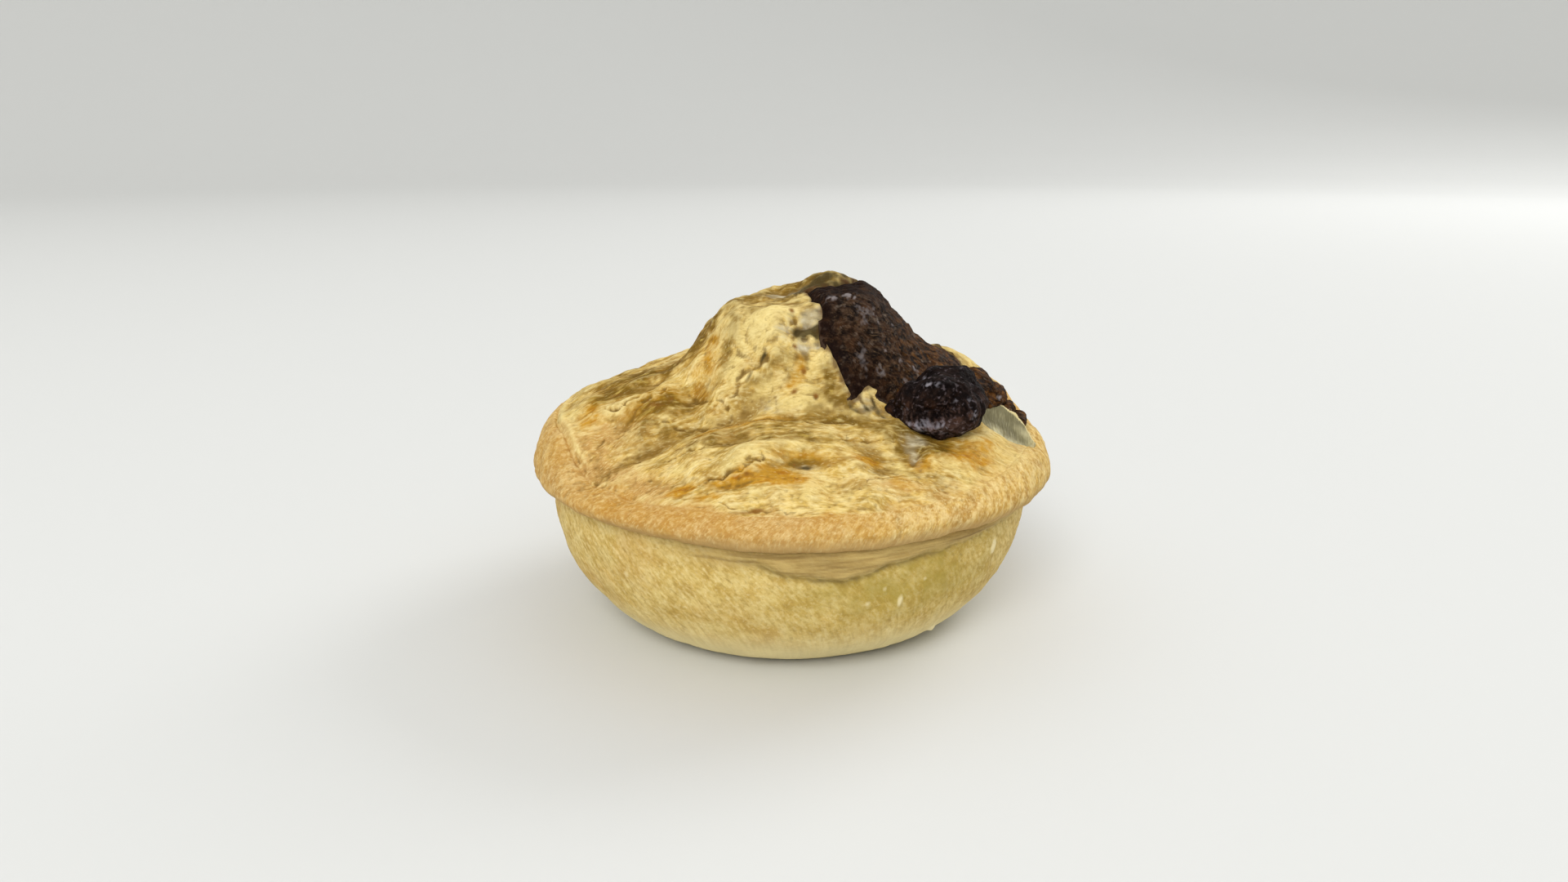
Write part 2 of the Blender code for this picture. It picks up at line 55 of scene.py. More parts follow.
BASE_RADIUS = 19.1
WALL_RADIUS = 29.75
WALL_CURVE_HEIGHT = 16.0
WALL_ROUNDNESS = 0.66
CASE_HEIGHT = 17.5
WALL_WAVE = 0.22
WALL_WAVE_LENGTH = 9.0

SEAM_HEIGHT = 17.9
SEAM_WAVE = 0.35
ROLL_HEIGHT = 19.4
ROLL_RISE = 4.6
ROLL_UNDERCUT_ANGLE = 49.0
RIM_WAVE = 0.3
RIM_WAVE_LENGTH = 8.0
CREASE_RADIUS = 28.8
FRONT_CREASE_HEIGHT = 21.0
SIDE_CREASE_HEIGHT = 25.2
LEFT_APRON_END = (48.0, 68.0)
RIGHT_APRON_END = (35.0, 95.0)
APRON_SPREAD = 25.0
RIGHT_SIDE_SHARE = 0.75
DOME_HEIGHT = 30.6
FRONT_DOME_POWER = 1.5
SIDE_DOME_POWER = 4.0
MOUND_MIDDLE = (1.6, 1.0)
MOUND_LEFT_REACH = 17.6
MOUND_RIGHT_REACH = 16.6
MOUND_FRONT_REACH = 15.0
MOUND_BACK_REACH = 16.8
MOUND_SQUARENESS = 2.6
MOUND_PLATEAU = 0.42
MOUND_RISE = 8.8
MOUND_TILT = 0.11
WRINKLE_DEPTH = 0.75
WRINKLE_LENGTH = 9.0
WRINKLE_WIDTH = 3.4
WRINKLE_FAN = 0.45
WRINKLE_FAN_START = -6.0
CRAG_DEPTH = 0.7
CRAG_WIDTH = 4.2

# Outline of the tear in the lid, from its top left end round by the front: x, y.
BURST_OUTLINE = (
    (1.9, 0.2), (3.4, -4.2), (4.2, -7.8), (5.6, -9.9), (7.7, -11.4), (9.4, -10), (12.4, -10.1),
    (17.6, -8.6), (21.6, -5.4), (24.2, -3), (24.9, 0.4), (23.6, 4.6), (20.6, 7.6), (16, 8), (10.5, 5.6),
    (7, 2), (4.2, 0.8),
)
BURST_STEPS = 16

# Oval hills and hollows of the lid: middle x and y, reach along and across, turn in degrees, height.
LID_HILLS = (
    (17.3, 1.6, 4.6, 6.5, 0, 2.9),  # shoulder of the mound, right of its top
    (5.5, 3.5, 3.3, 2.2, 12, 2.0),  # hood of crust over the top of the burst
    (23.5, 10.0, 5.0, 4.5, 0, 3.5),  # raised crust behind the burst
    (25.0, -6.4, 4.6, 2.4, -10, -1.5),  # gully below the torn inner layer
    (27.4, 1.6, 4.0, 3.2, 0, -1.5),  # bed of the spilled mince
    (-11.0, 5.5, 1.6, 4.5, 15, 1.0),  # fold at the mound's back left
    (-17.5, -7.0, 3.0, 1.6, 20, -1.0),  # left hollow
    (-13.0, -6.0, 5.0, 1.7, 25, 0.8),  # ridge from the left hollow up to the mound
    (-16.0, 9.0, 7.0, 5.0, 0, -1.0),  # sunken back left
    (-4.0, -20.5, 4.6, 1.7, 22, 0.8),  # leaf-shaped fold on the apron
    (9.5, -18.5, 1.6, 4.5, 10, -0.5),  # cream crease right of the leaf
    (-2.0, -10.8, 6.0, 1.0, 22, -0.9),  # crack across the front of the mound
    (-4.0, -7.6, 3.8, 1.9, 30, 0.7),  # swollen fold above the crack
    (18.0, -18.0, 7.0, 3.4, 40, 0.7),  # full front right shoulder
)

# --- Numbers on many points at once ---


def smooth(low, high, value):
    """0 below low, 1 above high, and a soft step between."""
    share = np.clip((value - low) / (high - low), 0.0, 1.0)
    return share * share * (3.0 - 2.0 * share)


def bell(value, middle, width):
    """1 at the middle, fading to 0 well outside the width."""
    return np.exp(-(((value - middle) / width) ** 2))


def hill(x, y, middle_x, middle_y, along, across, turn=0.0):
    """1 at the middle of an oval hill, fading to 0 well outside its reach along and across."""
    cosine, sine = math.cos(math.radians(turn)), math.sin(math.radians(turn))
    right, up = x - middle_x, y - middle_y
    return bell(right * cosine + up * sine, 0.0, along) * bell(up * cosine - right * sine, 0.0, across)


def raised(x, y, rows):
    """Height that oval hills add together at each point; each row is a hill's, with its height last."""
    return sum(row[-1] * hill(x, y, *row[:-1]) for row in rows)


def strongest(x, y, rows):
    """The strongest of many oval spots at each point; each row is a hill's, with its strength last."""
    return np.max([row[-1] * hill(x, y, *row[:-1]) for row in rows], axis=0)


def unit(vectors):
    """Vectors made one long."""
    return vectors / np.linalg.norm(vectors, axis=1, keepdims=True)


def lumps(x, y, z, length):
    """The model's own even noise, from -1 to 1, with swells about this long."""
    points = np.stack(np.broadcast_arrays(x, y, z), axis=-1).reshape(-1, 3) / length
    return np.array([noise.noise(Vector(point)) for point in points]).reshape(np.shape(x))


def scrambled(cells, seed):
    """A repeatable whole number below 2**30 for each cell of a grid."""
    key = cells @ np.array([374761393, 668265263, 1274126177]) + seed * 362437
    key = (key ^ (key >> 13)) * 1103515245
    return (key ^ (key >> 16)) & 0x3FFFFFFF


def thirds(number):
    """Splits each scrambled number into three shares from 0 to 1."""
    return np.stack([(number >> shift) & 1023 for shift in (0, 10, 20)], axis=1) / 1023.0


def noise_at(points, size, seed):
    """Even noise, about -1 to 1, with swells about this long, or this long along each axis."""
    spots = points / np.array(size)
    cell = np.floor(spots).astype(np.int64)
    near = spots - cell
    ease = near**3 * (near * (near * 6.0 - 15.0) + 10.0)
    total = np.zeros(len(points))
    for corner in itertools.product((0, 1), repeat=3):
        slope = 2.0 * thirds(scrambled(cell + corner, seed)) - 1.0
        share = np.where(np.array(corner) == 1, ease, 1.0 - ease).prod(axis=1)
        total += share * (slope * (near - corner)).sum(axis=1)
    return 1.6 * total


def noises(points, *layers):
    """Layers of even noise on top of one another: each has a height, a size and a seed."""
    return sum(height * noise_at(points, size, seed) for height, size, seed in layers)


def puffs_at(points, size, seed):
    """Rounded swells from 0 to about 1 that meet in sharp creases."""
    return np.abs(noise_at(points, size, seed))


def grains_at(points, size, seed):
    """Distance to the nearest of many scattered middles, in shares of size, and that grain's own share."""
    spots = points / size
    cell = np.floor(spots).astype(np.int64)
    nearest = np.full(len(points), 9.0)
    own = np.zeros(len(points))
    for step in itertools.product((-1, 0, 1), repeat=3):
        shares = thirds(scrambled(cell + step, seed))
        far = np.linalg.norm(cell + step + shares - spots, axis=1)
        own = np.where(far < nearest, shares[:, 0], own)
        nearest = np.minimum(far, nearest)
    return nearest, own


def path_distance(x, y, corners):
    """Distance from each point to a path of straight stretches through the corners."""
    nearest = np.full(np.shape(x), np.inf)
    for start, end in zip(corners[:-1], corners[1:]):
        run = np.array(end) - np.array(start)
        share = np.clip(((x - start[0]) * run[0] + (y - start[1]) * run[1]) / (run @ run), 0.0, 1.0)
        far = np.hypot(x - start[0] - share * run[0], y - start[1] - share * run[1])
        nearest = np.minimum(nearest, far)
    return nearest


def inside_outline(x, y, corners):
    """True for each point inside a closed outline."""
    inside = np.zeros(np.shape(x), bool)
    for start, end in zip(corners, np.roll(corners, -1, axis=0)):
        crosses = (start[1] > y) != (end[1] > y)
        rise = end[1] - start[1] or 1e-9
        inside ^= crosses & (x < start[0] + (y - start[1]) / rise * (end[0] - start[0]))
    return inside


def curve_between(before, start, end, after, t):
    """Points at shares t of a smooth curve from start to end, with the corners before and after them."""
    bend = 2.0 * before - 5.0 * start + 4.0 * end - after
    twist = 3.0 * start - before - 3.0 * end + after
    return 0.5 * (2.0 * start + (end - before) * t + bend * t**2 + twist * t**3)


# --- Forms of the pie ---


def wall_radius(z):
    """Outer radius of the case at a height: steep at the rim, rolling under to the flat bottom."""
    share = np.clip(1.0 - z / WALL_CURVE_HEIGHT, 0.0, 1.0)
    return BASE_RADIUS + (WALL_RADIUS - BASE_RADIUS) * (1.0 - share**2) ** WALL_ROUNDNESS


def seam_wave(x, y):
    """How far the seam between lid and case rises or dips round the rim."""
    angle = np.arctan2(y, x)
    return SEAM_WAVE * (0.6 * np.sin(2.0 * angle + 0.6) + 0.4 * np.sin(5.0 * angle))


def side_share(x, y):
    """0 on the low apron at the front of the lid, 1 round its higher left side and back."""
    spread = APRON_SPREAD * (1.0 - np.clip(np.hypot(x, y) / CREASE_RADIUS, 0.0, 1.0))
    angle = np.degrees(np.abs(np.arctan2(x, -y)))
    left = smooth(LEFT_APRON_END[0] - spread, LEFT_APRON_END[1] + spread, angle)
    right = smooth(RIGHT_APRON_END[0] - spread, RIGHT_APRON_END[1] + spread, angle)
    lower = smooth(0.0, 1.0, 1.0 - y / CREASE_RADIUS) * (1.0 - smooth(115.0, 178.0, angle))
    right = right * (1.0 - (1.0 - RIGHT_SIDE_SHARE) * lower)
    return np.where(x < 0.0, left, right)


def crease_height(x, y):
    """Height at which the rolled rim meets the domed crust."""
    return FRONT_CREASE_HEIGHT + side_share(x, y) * (SIDE_CREASE_HEIGHT - FRONT_CREASE_HEIGHT)


def mound_distance(x, y):
    """0 in the middle of the mound, 1 round its foot."""
    dx, dy = x - MOUND_MIDDLE[0], y - MOUND_MIDDLE[1]
    side = np.abs(dx) / np.where(dx < 0.0, MOUND_LEFT_REACH, MOUND_RIGHT_REACH)
    deep = np.abs(dy) / np.where(dy < 0.0, MOUND_FRONT_REACH, MOUND_BACK_REACH)
    return (side**MOUND_SQUARENESS + deep**MOUND_SQUARENESS) ** (1.0 / MOUND_SQUARENESS)


def lid_form(x, y):
    """Height of the lid's smooth form: the dome and the mound."""
    share = side_share(x, y)
    crease = crease_height(x, y)
    power = FRONT_DOME_POWER + share * (SIDE_DOME_POWER - FRONT_DOME_POWER)
    outward = np.clip(np.hypot(x, y) / CREASE_RADIUS, 1e-6, 1.0)
    dome = crease + (DOME_HEIGHT - crease) * (1.0 - outward**power)
    rise = MOUND_RISE + MOUND_TILT * (x - MOUND_MIDDLE[0])
    mound = rise * (1.0 - smooth(MOUND_PLATEAU, 1.0, mound_distance(x, y)))
    return dome + mound + raised(x, y, LID_HILLS[:1])


def fan_line(x, y):
    """Across the wrinkles: they run from side to side and fan up the left."""
    return y + WRINKLE_FAN * np.maximum(WRINKLE_FAN_START - x, 0.0)


def wrinkles(x, y):
    """Long low wrinkles and rounder crags, as the model has them."""
    long = lumps(x / WRINKLE_LENGTH, fan_line(x, y) / WRINKLE_WIDTH, 0.0 * x, 1.0)
    crags = lumps(x, y, 0.0 * x, CRAG_WIDTH)
    calm = 1.0 - 0.6 * smooth(0.8, 1.0, np.hypot(x, y) / CREASE_RADIUS)
    return (WRINKLE_DEPTH * long + CRAG_DEPTH * crags) * calm


def roll_share(x, y, cosine):
    """Height on the roll from its widest ring (0) to the crease (1), at a share of its width."""
    rise = np.sqrt(np.clip(1.0 - cosine**2, 0.0, 1.0))
    return rise ** (1.0 + 0.45 * side_share(x, y))


def lid_surface(x, y):
    """Height of the lid's outer face, from its middle out to the widest ring of the roll."""
    radius = np.maximum(np.hypot(x, y), 1e-6)
    inward = np.minimum(1.0, CREASE_RADIUS / radius)
    inner_x, inner_y = x * inward, y * inward
    folds = raised(inner_x, inner_y, LID_HILLS[1:]) + wrinkles(inner_x, inner_y)
    share = roll_share(x, y, np.clip((radius - CREASE_RADIUS) / (RIM_RADIUS - CREASE_RADIUS), 0.0, 1.0))
    fall = (1.0 - share) * (crease_height(x, y) - ROLL_HEIGHT)
    return lid_form(inner_x, inner_y) + folds * share**2 - fall


def out_of_round(x, y, z):
    """How many times further out the rim stands than an even ring."""
    radius = np.maximum(np.hypot(x, y), 1.0)
    right = np.maximum(x, 0.0) / radius
    wave = RIM_WAVE * lumps(x, y, z, RIM_WAVE_LENGTH) + RIM_RIGHT_SWELL * right**2
    return (1.0 + wave * smooth(0.96, 1.02, radius / CREASE_RADIUS) / radius)[:, None]


def burst_outline():
    """Points of the smooth closed tear in the lid, with a fine ragged edge."""
    corners = np.array(BURST_OUTLINE)
    before, end, after = (np.roll(corners, step, axis=0) for step in (1, -1, -2))
    shares = np.arange(BURST_STEPS) / BURST_STEPS
    curves = [curve_between(before, corners, end, after, share) for share in shares]
    points = np.stack(curves, axis=1).reshape(-1, 2)
    flat = np.column_stack([points, np.zeros(len(points))])
    run = np.roll(points, -1, axis=0) - np.roll(points, 1, axis=0)
    inward = unit(np.stack([-run[:, 1], run[:, 0]], axis=1))
    return points + noises(flat, (0.26, 2.2, 3), (0.08, 0.7, 4))[:, None] * inward


TEAR = burst_outline()


def tear_distance(x, y):
    """Distance to the torn edge, below zero inside the tear."""
    far = path_distance(x, y, np.vstack([TEAR, TEAR[:1]]))
    return np.where(inside_outline(x, y, TEAR), -far, far)


# --- Making and finishing pieces ---

SHARP_ANGLE = 60.0


def choose(thing):
    """Makes this the only selected and the active object."""
    bpy.ops.object.select_all(action="DESELECT")
    thing.select_set(True)
    bpy.context.view_layer.objects.active = thing


def points_of(thing):
    """The piece's points, in millimetres."""
    points = np.empty(len(thing.data.vertices) * 3, np.float32)
    thing.data.vertices.foreach_get("co", points)
    return points.reshape(-1, 3).astype(float) / MM


def move_points(thing, points):
    """Puts the piece's points at these places, in millimetres."""
    thing.data.vertices.foreach_set("co", (points * MM).astype(np.float32).ravel())
    thing.data.update()


def apply_modifier(thing, kind, **settings):
    """Adds a modifier with its settings and applies it."""
    choose(thing)
    modifier = thing.modifiers.new(kind.title(), kind)
    for name, value in settings.items():
        setattr(modifier, name, value)
    bpy.ops.object.modifier_apply(modifier=modifier.name)


def face_outward():
    """Turns the faces of the mesh in edit mode outward and leaves edit mode."""
    bpy.ops.mesh.select_all(action="SELECT")
    bpy.ops.mesh.normals_make_consistent(inside=False)
    bpy.ops.object.mode_set(mode="OBJECT")


def store(thing, **kept):
    """Keeps shares from 0 to 1, or places in mm, at each point under names that the materials read."""
    for name, values in kept.items():
        kind, output = ("FLOAT", "value") if values.ndim == 1 else ("FLOAT_VECTOR", "vector")
        values = np.clip(values, 0.0, 1.0) if values.ndim == 1 else values * MM
        layer = thing.data.attributes.new(name, kind, "POINT")
        layer.data.foreach_set(output, values.astype(np.float32).ravel())


# Painted shade and highlight: the materials darken the creases and lighten the ridges by these values.
def store_hollows(thing, **kinds):
    """Keeps how deep each point lies in a crease: 0.5 on an even stretch, 1 in a crease, 0 on a ridge.

    Each kind has the rounds of smoothing that its points are held against, and the depth that counts.
    """
    mesh = thing.data
    ends = np.empty(len(mesh.edges) * 2, np.int32)
    mesh.edges.foreach_get("vertices", ends)
    one, other = ends[0::2], ends[1::2]
    points = points_of(thing)
    count = len(points)
    meeting = np.maximum(np.bincount(one, minlength=count) + np.bincount(other, minlength=count), 1)
    normals = np.empty(count * 3, np.float32)
    mesh.vertex_normals.foreach_get("vector", normals)
    soft, done = points, 0
    for name, (rounds, depth) in kinds.items():
        for _ in range(done, rounds):
            total = [
                np.bincount(one, soft[other, axis], count) + np.bincount(other, soft[one, axis], count)
                for axis in range(3)
            ]
            soft = 0.5 * soft + 0.5 * np.stack(total, axis=1) / meeting[:, None]
        done = rounds
        hollow = ((soft - points) * normals.reshape(-1, 3)).sum(axis=1) / depth
        store(thing, **{name: 0.5 + 0.5 * hollow})


def finish_piece(thing, material, stands_for):
    """Gives a piece its material and smooth shading, and fixes it to the pie."""
    thing.data.materials.clear()
    thing.data.materials.append(material)
    choose(thing)
    bpy.ops.object.shade_smooth_by_angle(angle=math.radians(SHARP_ANGLE))
    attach(thing, "root")
    if stands_for:
        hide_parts(stands_for)
    thing.select_set(False)


def turned(name, profile, steps, closed=True):
    """A form turned round +Z from (radius, height) points, listed down its outer side."""
    count = len(profile)
    edges = [(index, (index + 1) % count) for index in range(count if closed else count - 1)]
    mesh = bpy.data.meshes.new(name)
    mesh.from_pydata([(radius * MM, 0.0, height * MM) for radius, height in profile], edges, [])
    thing = bpy.data.objects.new(name, mesh)
    bpy.context.scene.collection.objects.link(thing)
    merging = {"use_merge_vertices": True, "merge_threshold": 0.001 * MM}
    apply_modifier(thing, "SCREW", steps=steps, render_steps=steps, **merging)
    bpy.ops.object.mode_set(mode="EDIT")
    face_outward()
    return thing


def slopes(form, x, y):
    """Unit normals of a height form."""
    step = 0.05
    rise_x = (form(x + step, y) - form(x - step, y)) / (2.0 * step)
    rise_y = (form(x, y + step) - form(x, y - step)) / (2.0 * step)
    return unit(np.stack([-rise_x, -rise_y, np.ones(len(x))], axis=1))


def flat_out(x, y):
    """Unit vectors straight out from the pie's axis."""
    radius = np.maximum(np.hypot(x, y), 1e-6)
    return np.column_stack([x / radius, y / radius])


# --- Crown: the domed crust ---

CROWN_CELLS = 300
CROWN_RADIUS = 29.6
CROWN_FLOOR = 19.6
# The ridge beside the crease at the rim, and the band in which the crust turns to the rim's even tan.
RIDGE_RADIUS = 28.3
BAND_START = 27.6
BAND_END = 29.4

# How far the hood hangs forward: middle x and y, reach along and across, turn, distance.
HOOD_OVERHANG = (5.5, 2.2, 3.2, 1.8, 12, 0.9)

# Cracks in the crust: points (x, y), half width and depth.
CRACKS = (
    (((1.7, -7.1), (-0.2, -7.9), (-2.1, -8.7), (-3.4, -9.6), (-5.5, -9.9), (-6.9, -10.8)), 0.34, 0.26),
    (((3.9, -7.7), (2.4, -7.4), (0.6, -7.5)), 0.6, 0.8),
    (((0.6, -7.5), (-0.8, -7.9)), 0.4, 0.4),
    (((-2.8, -9.2), (-4.2, -9.8)), 0.35, 0.4),
    (((-8.9, -23.4), (-7, -22.7), (-5.5, -22.3), (-3.8, -21.3), (-3.2, -20.9)), 0.24, 0.32),
    (((-21.4, -10.4), (-19, -9.6), (-16.4, -8.9), (-14.8, -8.2)), 0.22, 0.45),
    (((-11.7, -9.2), (-9.5, -10.4), (-7.2, -11.4)), 0.2, 0.3),
    (((15.6, -15.8), (14.8, -17.6), (13.4, -19.6)), 0.3, 0.3),
    (((-3.6, -10.4), (-2.9, -10.2), (-2.2, -10.5), (-1.9, -11.3)), 0.1, 0.08),
    (((-22, -14.6), (-19.6, -14), (-17.6, -13)), 0.15, 0.12),
    (((-7.4, -26.9), (-5.6, -27.9), (-3.4, -28.3), (-1.4, -28.2), (0.6, -28.5)), 0.14, 0.2),
    (((-14, -18.6), (-10.5, -18.2), (-6.4, -17.4), (-2.5, -17.8)), 0.16, 0.22),
    (((-16, -12.5), (-11, -13.4), (-5, -13.2), (1, -14.4), (7, -14.2)), 0.18, 0.2),
    (((5, -17.6), (8.5, -16.8), (12, -17)), 0.16, 0.2),
    (((8, -23.6), (10.5, -22.6), (13, -22.4)), 0.16, 0.25),
)


def crack_depth(spots):
    """How deep the cracks cut."""
    x, y, _ = spots.T
    depth = np.zeros(len(x))
    wander = noises(spots, (0.5, 1.5, 21), (0.2, 0.6, 23))
    ragged = np.clip(0.8 + 0.9 * noise_at(spots, 1.1, 24), 0.15, 1.5)
    for corners, half_width, deep in CRACKS:
        far = path_distance(x + wander, y - wander, corners)
        depth = np.maximum(depth, deep * ragged * bell(far, 0.0, half_width * (0.7 + 0.4 * ragged)))
    return depth


def crust_zones(x, y):
    """Shares of the mound, of the wrinkled ring round its foot and of the smoother apron."""
    mound = 1.0 - smooth(0.6, 1.0, mound_distance(x, y))
    apron = smooth(0.66, 0.88, np.hypot(x, y) / CREASE_RADIUS) * (1.0 - 0.75 * side_share(x, y))
    return mound, (1.0 - mound) * (1.0 - apron), apron


def grain_lines(spots):
    """Places measured along and across the wrinkles, drawn out along them."""
    x, y, z = spots.T
    return np.column_stack([x, fan_line(x, y) + noises(spots, (1.1, 5, 11), (0.35, 2, 25)), z])


def thin_creases(flow, size, seed):
    """1 along thin winding lines, 0 off them."""
    return bell(noise_at(flow, size, seed), 0.0, 0.075)


def crust_relief(spots):
    """Height of the crust's folds, puffs, flaky layers, pits and grain above its smooth form."""
    x, y, _ = spots.T
    mound, wrinkled, apron = crust_zones(x, y)
    flow = grain_lines(spots)
    bent = spots + (flow[:, 1] - fan_line(x, y))[:, None]
    rumpled = smooth(-0.35, 0.35, noise_at(spots, 6.5, 14))
    folds = noises(flow, (0.42, (8, 2.7, 4), 12), (0.06, (2, 0.5, 0.9), 27))
    folds += 0.15 * rumpled * noise_at(flow, (4.6, 1.35, 2.5), 13)
    folds -= 0.09 * rumpled * thin_creases(flow, (7, 2.2, 4), 26)
    puffed = noises(bent, (0.44, 4.4, 15), (0.10, 1, 17)) + 0.30 * puffs_at(bent, 2.6, 16)
    puffed -= 0.08 * rumpled * thin_creases(bent, 3.4, 28)
    rough = noises(spots, (0.18, 2.6, 18), (0.07, 0.65, 29)) + 0.10 * puffs_at(spots, 1.3, 19)
    pits, own = grains_at(spots, 2.1, 30)
    rough -= 0.16 * (own > 0.7) * bell(pits, 0.0, 0.12)
    layer = noise_at(flow, (8, 2.6, 5), 22)
    layers = 0.12 * smooth(-0.05, 0.05, layer) + 0.06 * smooth(0.25, 0.33, layer)
    total = wrinkled * (folds + rumpled * layers) + mound * (puffed + 0.6 * layers) + apron * rough
    return total + 0.035 * noise_at(spots, 0.42, 20)


def groove_share(x, y):
    """How deep a crease parts the crown from the rim: deepest at the left, none at the right."""
    turns = (0, 25, 60, 150, 180, 196, 212, 235, 262, 284, 360)
    shares = (0, 0, 0.35, 0.4, 0.6, 1, 0.75, 0.35, 0.22, 0, 0)
    return np.interp(np.degrees(np.arctan2(y, x)) % 360.0, turns, shares)


def cut_outline(block, outline, operation):
    """Cuts an upright prism on this outline out of a flat block, or keeps only what is in it."""
    bpy.ops.mesh.primitive_circle_add(vertices=len(outline), fill_type="NGON", location=(0.0, 0.0, 0.0))
    cutter = bpy.context.object
    move_points(cutter, np.column_stack([outline, np.full(len(outline), -2.0)]))
    bpy.ops.object.mode_set(mode="EDIT")
    bpy.ops.mesh.select_all(action="SELECT")
    bpy.ops.mesh.extrude_region_move(TRANSFORM_OT_translate={"value": (0.0, 0.0, 4.0 * MM)})
    face_outward()
    apply_modifier(block, "BOOLEAN", operation=operation, object=cutter, solver="MANIFOLD")
    bpy.data.objects.remove(cutter, do_unlink=True)


def flat_block(name, cells, points_on_plan):
    """A flat grid set out on plan by a function, with straight sides down to one face 1 mm below."""
    bpy.ops.mesh.primitive_grid_add(x_subdivisions=cells[0], y_subdivisions=cells[1], size=2.0)
    block = bpy.context.object
    block.name = block.data.name = name
    # Places on the grid, as shares from -1 to 1.
    points = points_of(block) * MM
    points[:, 0], points[:, 1] = points_on_plan(points[:, 0].copy(), points[:, 1].copy())
    move_points(block, points)
    bpy.ops.object.mode_set(mode="EDIT")
    bpy.ops.mesh.select_all(action="DESELECT")
    bpy.ops.mesh.select_mode(type="VERT")
    bpy.ops.mesh.select_non_manifold()
    bpy.ops.mesh.extrude_edges_move(TRANSFORM_OT_translate={"value": (0.0, 0.0, -MM)})
    bpy.ops.mesh.edge_face_add()
    face_outward()
    return block


def crowded(share, middle):
    """Draws a row of points together round one place, where the mound is steep."""
    return (share - 0.06 * np.tanh((share - middle) / 0.13)) / 0.94


def crown_plan(u, v):
    """Sets a square grid out as a disc."""
    u, v = crowded(u, -0.42), crowded(v, -0.36)
    return CROWN_RADIUS * u * np.sqrt(1.0 - 0.5 * v**2), CROWN_RADIUS * v * np.sqrt(1.0 - 0.5 * u**2)


def make_crown():
    """The domed crust inside the rim, with the burst cut out of it."""
    crown = flat_block("lid_crown", (CROWN_CELLS, CROWN_CELLS), crown_plan)
    cut_outline(crown, TEAR, "DIFFERENCE")
    points = points_of(crown)
    x, y, flat_z = points.T.copy()
    low = flat_z < -0.5
    base = lid_surface(x, y)
    spots = np.column_stack([x, y, base])
    radius = np.hypot(x, y)
    edge = tear_distance(x, y)
    near_rim = smooth(0.975, 1.005, radius / CREASE_RADIUS)
    relief = crust_relief(spots) * (1.0 - 0.7 * near_rim) + near_rim * rim_relief(spots)
    relief -= crack_depth(spots)
    lifted = smooth(11, 18, x) * smooth(-9.5, -5, y)
    torn = np.exp(-np.abs(edge) / 0.6) * (1.0 + noise_at(spots, 1.2, 48))
    relief += (0.9 * lifted - 0.30) * torn
    groove = groove_share(x, y) * (0.75 + 0.6 * noise_at(spots, 7, 46))
    waved = radius + 0.4 * noises(spots, (0.7, 6, 45), (0.25, 1.6, 47))
    relief += 0.5 * groove * bell(waved, RIDGE_RADIUS, 0.5)
    relief -= groove * 0.6 * smooth(28.9, 29.3, waved) + (1.0 - groove) * 0.45 * smooth(28.8, 29.6, radius)
    shaped = spots + slopes(lid_form, x, y) * relief[:, None]
    shaped[:, :2] *= out_of_round(x, y, base)
    shaped[:, 1] -= raised(x, y, (HOOD_OVERHANG,))
    shaped[low] = np.column_stack([0.98 * x, 0.98 * y, np.full(len(x), CROWN_FLOOR)])[low]
    move_points(crown, shaped)
    paint_crust(crown, spots, edge, grain_lines(spots) * (0.34, 1.0, 0.7))
    store_hollows(crown, hollow_fine=(5, 0.05), hollow_wide=(60, 0.30), hollow_broad=(320, 0.8))
    finish_piece(crown, baked_crust(), "pastry_lid")


